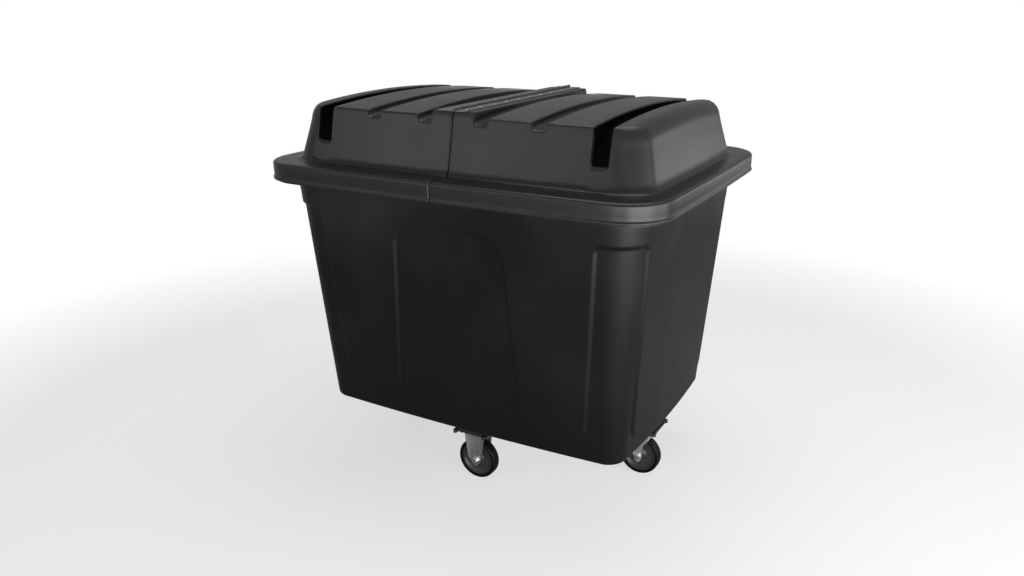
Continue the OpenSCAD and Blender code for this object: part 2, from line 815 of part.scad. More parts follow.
// The turned-out edges of the same leg
module leg_rib_face(head_w, end_w, head_z, lean) {
    for (flip = [-1, 1]) {
        outer = leg_side(head_w, end_w, head_z, flip * lean);
        inner = [for (i = [len(outer) - 1:-1:0]) outer[i] - [leg_rib_w, 0]];
        mirror([flip < 0 ? 1 : 0, 0]) polygon(concat(outer, inner));
    }
}

// Both legs of a fork, with the axle's holes
module fork_legs(head_w, end_w, head_z, lean) {
    difference() {
        for (side = [-1, 1]) mirror([0, side < 0 ? 1 : 0, 0]) {
            translate([0, leg_out, 0]) rotate([90, 0, 0]) linear_extrude(fork_t)
                leg_face(head_w, end_w, head_z, lean);
            translate([0, leg_out + leg_rib_h, 0]) rotate([90, 0, 0]) linear_extrude(leg_rib_h + eps)
                leg_rib_face(head_w, end_w, head_z, lean);
        }
        translate([0, 0, wheel_r]) rotate([90, 0, 0])
            cylinder(r = axle_d / 2 + push_fit, h = 4 * leg_out, center = true, $fn = 32);
    }
}

module rigid_fork() {
    color(zinc) union() {
        fork_legs(rigid_leg_w, rigid_leg_end_w, caster_h - plate_t + eps, 0);
        difference() {
            translate([0, 0, caster_h - plate_t]) rounded_plate(plate_l, plate_w, pad_corner_r, plate_t);
            bolt_holes(caster_h - plate_t, plate_t);
        }
    }
}

// The fixed half of a swivel head: plate, upper race and skirt
module swivel_plate() {
    race_h = caster_h - plate_t - race_high_z;
    color(zinc) difference() {
        union() {
            translate([0, 0, caster_h - plate_t]) rounded_plate(plate_l, plate_w, pad_corner_r, plate_t);
            translate([0, 0, race_high_z]) cylinder(d = skirt_od, h = race_h + eps, $fn = 64);
            translate([0, 0, crown_top_z + skirt_clear]) difference() {
                cylinder(d = skirt_od, h = race_h, $fn = 64);
                translate([0, 0, -1]) cylinder(d = crown_od + 2, h = race_h + 2, $fn = 64);
            }
        }
        rotate_extrude($fn = 64) translate([race_d / 2, ball_z]) circle(r = ball_d / 2 + ball_clear, $fn = 32);
        translate([0, 0, crown_top_z]) cylinder(r = king_pin_d / 2 + push_fit, h = past, $fn = 32);
        bolt_holes(caster_h - plate_t, plate_t);
    }
}

// The turning half: crown, lower race and legs. Its own frame is the wheel's
module swivel_fork() {
    color(zinc) union() {
        fork_legs(swivel_leg_w, swivel_leg_end_w, crown_top_z - eps, trail);
        translate([trail, 0, 0]) difference() {
            union() {
                translate([0, 0, crown_top_z - crown_t]) cylinder(d = crown_od, h = crown_t, $fn = 64);
                translate([0, 0, crown_top_z - eps])
                    cylinder(d = race_d + ball_d, h = race_low_z - crown_top_z, $fn = 64);
            }
            rotate_extrude($fn = 64) translate([race_d / 2, ball_z]) circle(r = ball_d / 2 + push_fit, $fn = 32);
            translate([0, 0, crown_top_z - past / 2]) cylinder(r = king_pin_d / 2 + run_fit, h = past, $fn = 32);
        }
    }
}

module swivel_balls() {
    color(steel) for (i = [0:ball_count - 1])
        rotate([0, 0, 360 * i / ball_count]) translate([race_d / 2, 0, ball_z]) sphere(d = ball_d, $fn = 24);
}

module king_pin() {
    under_z = crown_top_z - crown_t - ball_clear;
    color(steel) {
        translate([0, 0, under_z]) cylinder(d = king_pin_d, h = caster_h - under_z, $fn = 32);
        translate([0, 0, king_head_z]) cylinder(d1 = king_pin_d, d2 = 1.7 * king_pin_d, h = under_z - king_head_z, $fn = 32);
    }
}

// A wheel's section is drawn with its axle along Z
module about_axle() { translate([0, 0, wheel_r]) rotate([90, 0, 0]) children(); }

module wheel() {
    rim_r = wheel_r - tyre_t;
    rim_in = rim_r - 6;
    color(plastic) about_axle() rotate_extrude($fn = 96) {
        translate([bush_d / 2 + push_fit, -hub_w / 2]) square([(hub_d - bush_d) / 2, hub_w]);
        polygon([
            [hub_d / 2 - 1, -web_t], [hub_d / 2 + 6, -web_t / 2], [rim_in - 5, -web_t / 2],
            [rim_in, -wheel_w / 2 + 4], [rim_in + 1, -wheel_w / 2 + 2], [rim_r, -wheel_w / 2 + 2],
            [rim_r, wheel_w / 2 - 2], [rim_in + 1, wheel_w / 2 - 2], [rim_in, wheel_w / 2 - 4],
            [rim_in - 5, web_t / 2], [hub_d / 2 + 6, web_t / 2], [hub_d / 2 - 1, web_t]
        ]);
    }
}

module tyre() {
    in_r = wheel_r - tyre_t + push_fit;
    edge = 5;
    color(rubber) about_axle() rotate_extrude($fn = 96) {
        translate([in_r, -wheel_w / 2]) square([tyre_t - push_fit - edge, wheel_w]);
        translate([in_r, -wheel_w / 2 + edge]) square([tyre_t - push_fit, wheel_w - 2 * edge]);
        for (side = [-1, 1])
            translate([wheel_r - edge, side * (wheel_w / 2 - edge)]) circle(r = edge, $fn = 32);
    }
}

module bush() {
    color(brass) about_axle() difference() {
        cylinder(d = bush_d, h = hub_w, center = true, $fn = 48);
        cylinder(r = axle_d / 2 + run_fit, h = hub_w + 2, center = true, $fn = 48);
    }
}

module axle_bolt() {
    color(zinc) about_axle() {
        translate([0, 0, -axle_seat - axle_nut_h - 2])
            cylinder(d = axle_d, h = 2 * axle_seat + axle_nut_h + 2, $fn = 32);
        translate([0, 0, axle_seat]) cylinder(d = axle_af / cos(30), h = axle_head_h, $fn = 6);
    }
}

module axle_nut() {
    color(zinc) about_axle() translate([0, 0, -axle_seat - axle_nut_h]) difference() {
        cylinder(d = axle_af / cos(30), h = axle_nut_h, $fn = 6);
        translate([0, 0, -1]) cylinder(r = axle_d / 2 + push_fit, h = axle_nut_h + 2, $fn = 32);
    }
}

tub();
lid_left();
lid_right();
hinge_leaf_left();
hinge_leaf_right();
hinge_pin();
hinge_rivets_left();
hinge_rivets_right();
at_rigid(-1) caster_pad(ear_out);  // caster_pad_front
at_rigid(1) caster_pad(ear_out);  // caster_pad_back
at_swivel(-1) caster_pad(end_ear_out);  // caster_pad_left
at_swivel(1) caster_pad(end_ear_out);  // caster_pad_right
at_rigid(-1) caster_bolts();  // caster_bolts_front
at_rigid(1) caster_bolts();  // caster_bolts_back
at_swivel(-1) caster_bolts();  // caster_bolts_left
at_swivel(1) caster_bolts();  // caster_bolts_right
at_rigid(-1) caster_nuts();  // caster_nuts_front
at_rigid(1) caster_nuts();  // caster_nuts_back
at_swivel(-1) caster_nuts();  // caster_nuts_left
at_swivel(1) caster_nuts();  // caster_nuts_right
at_rigid(-1) rigid_fork();  // rigid_fork_front
at_rigid(1) rigid_fork();  // rigid_fork_back
at_swivel(-1) swivel_plate();  // swivel_plate_left
at_swivel(1) swivel_plate();  // swivel_plate_right
at_swivel_wheel(-1) swivel_fork();  // swivel_fork_left
at_swivel_wheel(1) swivel_fork();  // swivel_fork_right
at_swivel(-1) swivel_balls();  // swivel_balls_left
at_swivel(1) swivel_balls();  // swivel_balls_right
at_swivel(-1) king_pin();  // king_pin_left
at_swivel(1) king_pin();  // king_pin_right
at_rigid(-1) wheel();  // wheel_front
at_rigid(1) wheel();  // wheel_back
at_swivel_wheel(-1) wheel();  // wheel_left
at_swivel_wheel(1) wheel();  // wheel_right
at_rigid(-1) tyre();  // tyre_front
at_rigid(1) tyre();  // tyre_back
at_swivel_wheel(-1) tyre();  // tyre_left
at_swivel_wheel(1) tyre();  // tyre_right
at_rigid(-1) bush();  // bush_front
at_rigid(1) bush();  // bush_back
at_swivel_wheel(-1) bush();  // bush_left
at_swivel_wheel(1) bush();  // bush_right
at_rigid(-1) axle_bolt();  // axle_bolt_front
at_rigid(1) axle_bolt();  // axle_bolt_back
at_swivel_wheel(-1) axle_bolt();  // axle_bolt_left
at_swivel_wheel(1) axle_bolt();  // axle_bolt_right
at_rigid(-1) axle_nut();  // axle_nut_front
at_rigid(1) axle_nut();  // axle_nut_back
at_swivel_wheel(-1) axle_nut();  // axle_nut_left
at_swivel_wheel(1) axle_nut();  // axle_nut_right
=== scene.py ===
"""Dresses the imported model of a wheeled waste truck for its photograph.

The tub and the two halves of the lid get moulded skins with softened edges in place of their CAD solids.
The casters' pads, wheels, forks and bolts are modelled again with broken edges. The hinge, the tyres and the
inner pieces keep their CAD shapes. Every piece gets a procedural finish.
"""

import json
import logging
import math
from collections.abc import Callable, Iterator
from contextlib import contextmanager
from dataclasses import dataclass, field
from enum import Enum

import bpy
import numpy as np
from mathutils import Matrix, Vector

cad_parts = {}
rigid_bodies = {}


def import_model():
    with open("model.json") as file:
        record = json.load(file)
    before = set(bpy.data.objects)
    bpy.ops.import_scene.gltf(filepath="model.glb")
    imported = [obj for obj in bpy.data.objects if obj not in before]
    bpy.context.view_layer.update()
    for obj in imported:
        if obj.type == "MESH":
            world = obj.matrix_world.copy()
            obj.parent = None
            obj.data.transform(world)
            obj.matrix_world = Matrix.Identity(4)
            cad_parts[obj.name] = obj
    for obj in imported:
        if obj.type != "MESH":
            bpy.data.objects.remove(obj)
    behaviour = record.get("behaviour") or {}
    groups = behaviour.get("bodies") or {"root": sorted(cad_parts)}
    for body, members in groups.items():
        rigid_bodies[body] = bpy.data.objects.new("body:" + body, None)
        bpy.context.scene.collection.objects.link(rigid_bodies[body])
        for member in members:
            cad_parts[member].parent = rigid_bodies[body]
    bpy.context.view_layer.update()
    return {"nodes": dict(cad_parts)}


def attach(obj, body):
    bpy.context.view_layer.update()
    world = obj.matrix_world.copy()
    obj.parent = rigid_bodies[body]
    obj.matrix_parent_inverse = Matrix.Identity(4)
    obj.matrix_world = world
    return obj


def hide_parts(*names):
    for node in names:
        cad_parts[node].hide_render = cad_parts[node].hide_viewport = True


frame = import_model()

MM = 0.001
IMAGE_W, IMAGE_H = 1024, 576
WHITE = (1.0, 1.0, 1.0, 1.0)

log = logging.getLogger("waste_truck")
logging.basicConfig(level=logging.INFO, format="%(name)s: %(message)s")


class Side(Enum):
    """The two ends of the truck, as the sign of X."""

    LEFT = -1
    RIGHT = 1


class Value:
    """A number in a shader graph. Arithmetic on it adds Math nodes."""

    def __init__(self, graph: "Graph", socket: bpy.types.NodeSocket) -> None:
        """Wraps an output socket of a graph."""
        self.graph = graph
        self.socket = socket

    def _math(self, operation: str, first: object, second: object, clamp: bool = False) -> "Value":
        """Adds one Math node.

        Args:
            operation: The node's operation.
            first: Its first value.
            second: Its second value.
            clamp: Whether the result is held between 0 and 1.

        Returns:
            The node's result.
        """
        settings = {"operation": operation, "use_clamp": clamp}
        return self.graph.value(self.graph.node("ShaderNodeMath", settings, {0: first, 1: second}))

    def __add__(self, other: object) -> "Value":
        """Adds a number or a value."""
        return self._math("ADD", self, other)

    __radd__ = __add__

    def __sub__(self, other: object) -> "Value":
        """Takes a number or a value away."""
        return self._math("SUBTRACT", self, other)

    def __rsub__(self, other: object) -> "Value":
        """Is taken away from a number."""
        return self._math("SUBTRACT", other, self)

    def __mul__(self, other: object) -> "Value":
        """Multiplies by a number or a value."""
        return self._math("MULTIPLY", self, other)

    __rmul__ = __mul__

    def __truediv__(self, other: object) -> "Value":
        """Divides by a number or a value."""
        return self._math("DIVIDE", self, other)

    def clamped(self) -> "Value":
        """Holds the value between 0 and 1."""
        return self._math("ADD", self, 0.0, clamp=True)

    def past(self, level: float, gain: float) -> "Value":
        """A mask from 0 to 1 of where the value rises past a level."""
        return ((self - level) * gain).clamped()

    def at_least(self, other: object) -> "Value":
        """The larger of this and another value."""
        return self._math("MAXIMUM", self, other)


class Graph:
    """The nodes of one material or world."""

    def __init__(self, tree: bpy.types.NodeTree) -> None:
        """Starts on an empty tree."""
        self.tree = tree
        tree.nodes.clear()

    def node(self, kind: str, settings: dict | None = None, inputs: dict | None = None) -> bpy.types.Node:
        """Adds any node.

        Args:
            kind: The node's type.
            settings: Its properties, set first.
            inputs: A number, colour or link for each socket, by name or place.

        Returns:
            The new node.
        """
        made = self.tree.nodes.new(kind)
        for name, value in (settings or {}).items():
            setattr(made, name, value)
        for key, value in (inputs or {}).items():
            source = value.socket if isinstance(value, Value) else value
            if isinstance(source, bpy.types.NodeSocket):
                self.tree.links.new(source, made.inputs[key])
            else:
                made.inputs[key].default_value = source
        return made

    def value(self, node: bpy.types.Node, output: int | str = 0) -> Value:
        """Wraps one of a node's outputs."""
        return Value(self, node.outputs[output])

    def object_coords(self) -> bpy.types.NodeSocket:
        """The coordinates that every pattern here reads."""
        return self.node("ShaderNodeTexCoord").outputs["Object"]

    def noise(
        self, scale: float, detail: float, roughness: float, stretch: tuple[float, float, float] | None = None
    ) -> Value:
        """Adds a noise pattern.

        Args:
            scale: Number of blotches in a metre.
            detail: Number of finer layers.
            roughness: Strength of the finer layers.
            stretch: Scale of the pattern along each axis, where it isn't even.

        Returns:
            The pattern, from 0 to 1.
        """
        coords = self.object_coords()
        if stretch is not None:
            coords = self.node("ShaderNodeMapping", None, {"Vector": coords, "Scale": stretch}).outputs[0]
        made = self.node(
            "ShaderNodeTexNoise", {"noise_dimensions": "3D"},
            {"Vector": coords, "Scale": scale, "Detail": detail, "Roughness": roughness},
        )
        return self.value(made, "Fac")

    def mix(self, amount: Value, first: object, second: object) -> bpy.types.NodeSocket:
        """Blends two colours.

        Args:
            amount: How much of the second shows.
            first: The first colour, or a link to it.
            second: The second colour, or a link to it.

        Returns:
            The blended colour.
        """
        made = self.node("ShaderNodeMix", {"data_type": "RGBA"}, {0: amount, 6: first, 7: second})
        return made.outputs[2]

    def bump(self, height: Value, strength: float, distance: float) -> bpy.types.NodeSocket:
        """Turns a height into a bumped normal."""
        inputs = {"Strength": strength, "Distance": distance, "Height": height}
        return self.node("ShaderNodeBump", None, inputs).outputs[0]

    def blend(self, share: Value, first: bpy.types.Node, second: bpy.types.Node) -> bpy.types.Node:
        """Shows a second shader by a share, and the first one by the rest."""
        return self.node("ShaderNodeMixShader", None, {0: share, 1: first.outputs[0], 2: second.outputs[0]})


@dataclass(frozen=True)
class Finish:
    """What a surface is made of. Each kind of finish works out its own shader sockets."""

    name: str
    colour: tuple[float, float, float]
    roughness: float
    slot: str

    def shade(self, factor: float) -> tuple[float, ...]:
        """The colour made lighter or darker by a factor, with its alpha."""
        return (*(part * factor for part in self.colour), 1.0)

    def material(self) -> bpy.types.Material:
        """Makes the material.

        Returns:
            The material, or the one made before under the same name.
        """
        known = bpy.data.materials.get(self.name)
        if known is not None:
            return known
        made = bpy.data.materials.new(self.name)
        made.use_nodes = True
        graph = Graph(made.node_tree)
        surface = graph.node("ShaderNodeBsdfPrincipled", None, self.sockets(graph))
        graph.node("ShaderNodeOutputMaterial", None, {"Surface": surface.outputs[0]})
        return made

    def sockets(self, graph: Graph) -> dict[str, object]:
        """The shader's sockets by name, each with its number, colour or link."""
        raise NotImplementedError


@dataclass(frozen=True)
class MouldedPolyethylene(Finish):
    """Satin black polyethylene: fine pebble, faint flow marks, pale scuffs, and higher up pale patches that
    are partly dust and partly a painted sheen of light.
    """

    pebble: float = 0.12
    scuff: float = 0.5
    specular: float = 0.25
    # Pale patches higher up on the wall: partly dust, partly a painted sheen that makes the wall lighter
    # higher up.
    dust_and_sheen: float = 0.0
    dust_and_sheen_from: float = 0.32
    dust_and_sheen_gain: float = 2.2

    def sockets(self, graph: Graph) -> dict[str, object]:
        """The shader's sockets by name."""
        cloud = graph.noise(5.0, 4.0, 0.6)
        flow = graph.noise(14.0, 4.0, 0.6, (1.0, 1.0, 0.25))
        speck = graph.noise(420.0, 2.0, 0.5).past(0.66, 9.0)
        scratch = graph.noise(60.0, 5.0, 0.7, (0.25, 1.0, 2.2)).past(0.64, 7.0)
        wear = cloud.past(0.42, 3.0) * scratch * self.scuff
        tone = (flow * 0.5 + cloud * 0.5 + speck * 0.25).clamped()
        place = graph.node("ShaderNodeSeparateXYZ", None, {0: graph.object_coords()})
        # Painted light: these patches lighten the wall above a height, a painted sheen as well as dust.
        height = graph.value(place, "Z").past(self.dust_and_sheen_from, self.dust_and_sheen_gain)
        dust = graph.noise(2.4, 3.0, 0.55).past(0.4, 3.0) * height * self.dust_and_sheen
        dust_and_sheen_colour = graph.mix(dust, graph.mix(tone, self.shade(0.75), self.shade(1.3)), self.shade(10.0))
        pebbles = graph.noise(900.0, 2.0, 0.5) + graph.noise(46.0, 2.0, 0.5) * 1.6
        return {
            "Base Color": graph.mix(wear, dust_and_sheen_colour, self.shade(3.0)),
            "Roughness": (cloud - 0.5) * 0.16 + flow * 0.08 + wear * 0.15 + self.roughness - 0.04,
            "Specular IOR Level": self.specular,
            "Normal": graph.bump(pebbles, self.pebble, 0.0006),
        }


@dataclass(frozen=True)
class PlatedSteel(Finish):
    """Zinc-plated pressed steel: mottled plate, rolling marks, a little tarnish."""

    tarnish: float = 0.35

    def sockets(self, graph: Graph) -> dict[str, object]:
        """The shader's sockets by name."""
        mottle = graph.noise(120.0, 4.0, 0.65)
        rolled = graph.noise(60.0, 3.0, 0.6, (1.0, 12.0, 1.0))
        dull = graph.noise(28.0, 3.0, 0.6).past(0.45, 2.4) * self.tarnish
        plate = graph.mix(mottle, self.shade(0.82), self.shade(1.1))
        return {
            "Base Color": graph.mix(dull, plate, self.shade(0.5)),
            "Roughness": mottle * 0.14 + dull * 0.25 + self.roughness - 0.07,
            "Metallic": 1.0,
            "Normal": graph.bump(rolled + mottle * 0.6, 0.08, 0.0004),
        }


@dataclass(frozen=True)
class StippledSteel(Finish):
    """Dull hinge strip: dark steel with a bumped stipple whose dots are also painted lighter, as painted
    glints.
    """

    stipple: float = 0.5
    stipple_scale: float = 260.0

    def sockets(self, graph: Graph) -> dict[str, object]:
        """The shader's sockets by name."""
        inputs = {"Vector": graph.object_coords(), "Scale": self.stipple_scale}
        cells = graph.node("ShaderNodeTexVoronoi", {"feature": "F1"}, inputs)
        stipple_and_glints = (1.0 - graph.value(cells, "Distance") * 2.2).clamped()
        cloud = graph.noise(40.0, 4.0, 0.6)
        # The stipple's dots lighten the colour: painted glints on the stipple.
        tone = (stipple_and_glints * 0.6 + cloud * 0.5).clamped()
        return {
            "Base Color": graph.mix(tone, self.shade(0.45), self.shade(1.5)),
            "Roughness": cloud * 0.2 + self.roughness - 0.1,
            "Metallic": 0.85,
            "Normal": graph.bump(stipple_and_glints, self.stipple, 0.0008),
        }


@dataclass(frozen=True)
class WheelRubber(Finish):
    """Grey-black tread: matt, gritty and dusty."""

    dust: float = 0.35
    specular: float = 0.12

    def sockets(self, graph: Graph) -> dict[str, object]:
        """The shader's sockets by name."""
        cloud = graph.noise(45.0, 4.0, 0.6)
        grit = graph.noise(600.0, 3.0, 0.6)
        base = graph.mix(grit, self.shade(0.8), self.shade(1.2))
        return {
            "Base Color": graph.mix(cloud.past(0.4, 2.0) * self.dust, base, self.shade(2.2)),
            "Roughness": grit * 0.12 + self.roughness - 0.06,
            "Specular IOR Level": self.specular,
            "Normal": graph.bump(grit + cloud, 0.2, 0.0005),
        }


# The tub's pale patches higher up are dust with a painted sheen of light.
TUB_PLASTIC = MouldedPolyethylene(
    "tub_polyethylene", (0.0024, 0.0024, 0.0025), 0.36, "black_polyethylene", specular=0.34, dust_and_sheen=0.9
)
LID_PLASTIC = MouldedPolyethylene(
    "lid_polyethylene", (0.016, 0.016, 0.0167), 0.34, "black_polyethylene", specular=0.35
)
# Painted shade: a darker, duller black for the deep mouths of the lid's grooves, where shade falls.
MOUTH_SHADE_PLASTIC = MouldedPolyethylene(
    "groove_polyethylene", (0.0018, 0.0018, 0.0019), 0.8, "black_polyethylene",
    pebble=0.1, scuff=0.1, specular=0.03,
)
PAD_PLASTIC = MouldedPolyethylene(
    "pad_plastic", (0.006, 0.006, 0.0065), 0.5, "pad_plastic", pebble=0.2, scuff=0.2
)
WHEEL_PLASTIC = MouldedPolyethylene(
    "wheel_plastic", (0.0022, 0.0022, 0.0024), 0.4, "wheel_plastic", pebble=0.15, scuff=0.4, specular=0.05
)
TREAD = WheelRubber("wheel_tread", (0.004, 0.004, 0.0042), 0.45, "tyre_rubber")
ZINC = PlatedSteel("zinc_plate", (0.56, 0.564, 0.577), 0.36, "zinc_plated_steel")
# Painted highlight: the swivel plates and forks get a much paler zinc than the rigid forks, for the light
# they catch.
ZINC_PAINTED_HIGHLIGHT = PlatedSteel("swivel_zinc", (0.94, 0.945, 0.96), 0.34, "zinc_plated_steel", tarnish=0.2)
BOLTS = PlatedSteel("bolt_zinc", (0.7, 0.7, 0.72), 0.25, "zinc_plated_steel", tarnish=0.2)
BRIGHT = PlatedSteel("bright_steel", (0.62, 0.62, 0.64), 0.22, "hardened_steel", tarnish=0.1)
BRASS = PlatedSteel("bush_bronze", (0.55, 0.42, 0.22), 0.3, "bush_brass", tarnish=0.3)
STRIP = StippledSteel("hinge_strip", (0.2, 0.2, 0.207), 0.42, "hinge_steel")
RIVETS = PlatedSteel("rivet_steel", (0.22, 0.22, 0.228), 0.4, "hinge_steel", tarnish=0.2)

OUTLINE_STRAIGHT_STEPS = 60
OUTLINE_CORNER_STEPS = 48
SHORTEST = 1e-9


def quarter(half_l: float, half_w: float, corner: float, end_bow: float, side_bow: float) -> np.ndarray:
    """Outline of a bowed rounded rectangle, from the middle of its front to the middle of its right end.

    Args:
        half_l: Half length at the middle of the ends, in mm.
        half_w: Half width at the middle of the sides.
        corner: Radius of the corners.
        end_bow: How far the ends bow out.
        side_bow: How far the sides bow out.

    Returns:
        Points of the quarter, one row each.
    """
    a, b = half_l - end_bow, half_w - side_bow
    turn = np.radians(np.linspace(-90.0, 0.0, OUTLINE_CORNER_STEPS + 1))
    side = np.linspace(0.0, a - corner, OUTLINE_STRAIGHT_STEPS, endpoint=False)
    end = np.linspace(corner - b, 0.0, OUTLINE_STRAIGHT_STEPS + 1)[1:]
    x = np.concatenate([side, a - corner + corner * np.cos(turn), np.full(len(end), a)])
    y = np.concatenate([np.full(len(side), -b), corner - b + corner * np.sin(turn), end])
    return np.column_stack([
        x * (1 + end_bow / a * (1 - (y / b) ** 2)),
        y * (1 + side_bow / b * (1 - (x / a) ** 2)),
    ])


def along(path: np.ndarray, xs: np.ndarray, ys: np.ndarray, corner_steps: int) -> np.ndarray:
    """Samples a quarter outline at given places.

    Args:
        path: The outline's points.
        xs: Places along the side, by X, from its middle outwards.
        ys: Places on the end, by Y, towards its middle.
        corner_steps: Number of points spread evenly between the two.

    Returns:
        One row for each column of the skin.
    """
    run = np.concatenate([[0.0], np.cumsum(np.hypot(*np.diff(path, axis=0).T))])
    start = np.interp(xs[-1], path[:, 0], run)
    stop = np.interp(ys[0], path[:, 1], run)
    mid = np.linspace(start, stop, corner_steps + 2)[1:-1]
    x = np.concatenate([xs, np.interp(mid, run, path[:, 0]), np.interp(ys, path[:, 1], path[:, 0])])
    y = np.concatenate([np.interp(xs, path[:, 0], path[:, 1]), np.interp(mid, run, path[:, 1]), ys])
    return np.column_stack([x, y])


def at_height(plan: np.ndarray, z: float) -> np.ndarray:
    """Lifts points in plan to a height."""
    return np.column_stack([plan, np.full(len(plan), z)])


def ramp(distance: np.ndarray, width: float) -> np.ndarray:
    """Eases from 0 to 1 as a signed distance crosses an edge of a given width."""
    t = np.clip(distance / width + 0.5, 0.0, 1.0)
    return t * t * (3.0 - 2.0 * t)


def inside_both(a: np.ndarray, b: np.ndarray, radius: float) -> np.ndarray:
    """Signed distance inside two edges at once, with the corner rounded.

    Args:
        a: Distance inside the first edge.
        b: Distance inside the second edge.
        radius: Radius of the corner.

    Returns:
        The joint distance, positive inside.
    """
    near = (a < radius) & (b < radius)
    rounded = radius - np.hypot(np.maximum(radius - a, 0.0), np.maximum(radius - b, 0.0))
    return np.where(near, rounded, np.minimum(a, b))


def inside_either(a: np.ndarray, b: np.ndarray, radius: float) -> np.ndarray:
    """Signed distance inside one of two edges, with the inner corner filleted."""
    return -inside_both(-a, -b, radius)


def metres(*sizes: float) -> tuple[float, ...]:
    """Sizes in mm as metres."""
    return tuple(size * MM for size in sizes)


def deselect() -> None:
    """Leaves nothing selected, in object mode."""
    if bpy.context.object is not None and bpy.context.object.mode != "OBJECT":
        bpy.ops.object.mode_set(mode="OBJECT")
    bpy.ops.object.select_all(action="DESELECT")


def make_active(piece: bpy.types.Object) -> None:
    """Makes a piece the only selected and active one."""
    deselect()
    piece.select_set(True)
    bpy.context.view_layer.objects.active = piece


@contextmanager
def editing() -> Iterator[None]:
    """Holds the active piece in edit mode."""
    bpy.ops.object.mode_set(mode="EDIT")
    yield
    bpy.ops.object.mode_set(mode="OBJECT")


def select_points(mesh: bpy.types.Mesh, test: Callable[[Vector], bool]) -> None:
    """Selects the points whose places pass a test, and the edges and faces between them."""
    for point in mesh.vertices:
        point.select = test(point.co)
    for item in (*mesh.edges, *mesh.polygons):
        item.select = all(mesh.vertices[v].select for v in item.vertices)


def select_edges(mesh: bpy.types.Mesh, test: Callable[[Vector, Vector], bool]) -> None:
    """Selects only the edges whose two ends pass a test together."""
    for item in (*mesh.vertices, *mesh.polygons):
        item.select = False
    for edge in mesh.edges:
        edge.select = test(*(mesh.vertices[v].co for v in edge.vertices))


def merge_points(distance: float) -> None:
    """Merges the points of the piece in edit mode that lie within a distance in metres."""
    bpy.ops.mesh.select_all(action="SELECT")
    bpy.ops.mesh.remove_doubles(threshold=distance)


def apply_modifier(piece: bpy.types.Object, kind: str, **settings: object) -> None:
    """Changes a piece by a modifier.

    Args:
        piece: The piece.
        kind: The modifier's type.
        settings: The modifier's properties.
    """
    make_active(piece)
    modifier = piece.modifiers.new(kind.lower(), kind)
    for name, value in settings.items():
        setattr(modifier, name, value)
    bpy.ops.object.modifier_apply(modifier=modifier.name)


def lay_grid(name: str, points: np.ndarray) -> bpy.types.Object:
    """Lays a grid primitive's points over a surface.

    Args:
        name: Name of the new piece.
        points: Rows of columns of points, in mm.

    Returns:
        The new piece.
    """
    rows, columns, _ = points.shape
    deselect()
    bpy.ops.mesh.primitive_grid_add(x_subdivisions=columns - 1, y_subdivisions=rows - 1, size=1.0)
    piece = bpy.context.object
    piece.name = name
    piece.data.name = name
    piece.data.vertices.foreach_set("co", (points * MM).astype(np.float32).ravel())
    piece.data.update()
    return piece


def join(pieces: list[bpy.types.Object], merge: float) -> bpy.types.Object:
    """Joins pieces into the first and merges the points that meet.

    Args:
        pieces: The pieces to join.
        merge: Distance within which points merge, in metres.

    Returns:
        The joined piece.
    """
    make_active(pieces[0])
    for piece in pieces[1:]:
        piece.select_set(True)
    bpy.ops.object.join()
    with editing():
        merge_points(merge)
    return pieces[0]


def thicken(piece: bpy.types.Object, thickness: float) -> None:
    """Gives a skin a wall of a thickness in mm, behind its outer face."""
    apply_modifier(
        piece, "SOLIDIFY",
        thickness=thickness * MM, offset=-1.0, use_even_offset=False, use_quality_normals=True,
    )


def smooth(piece: bpy.types.Object, angle: float) -> None:
    """Shades a piece smooth where its faces meet at less than an angle in degrees."""
    make_active(piece)
    bpy.ops.object.shade_smooth_by_angle(angle=math.radians(angle))


def dress(piece: bpy.types.Object, finish: Finish, body: str, *nodes: str) -> bpy.types.Object:
    """Gives a new piece its finish and its body, and hides the nodes that it replaces.

    Args:
        piece: The new piece.
        finish: Its finish.
        body: The body that it rides on.
        nodes: The nodes that it replaces.

    Returns:
        The piece.
    """
    piece.data.materials.clear()
    piece.data.materials.append(finish.material())
    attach(piece, body)
    if nodes:
        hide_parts(*nodes)
    log.info("%s: %d faces on %s", piece.name, len(piece.data.polygons), body)
    return piece


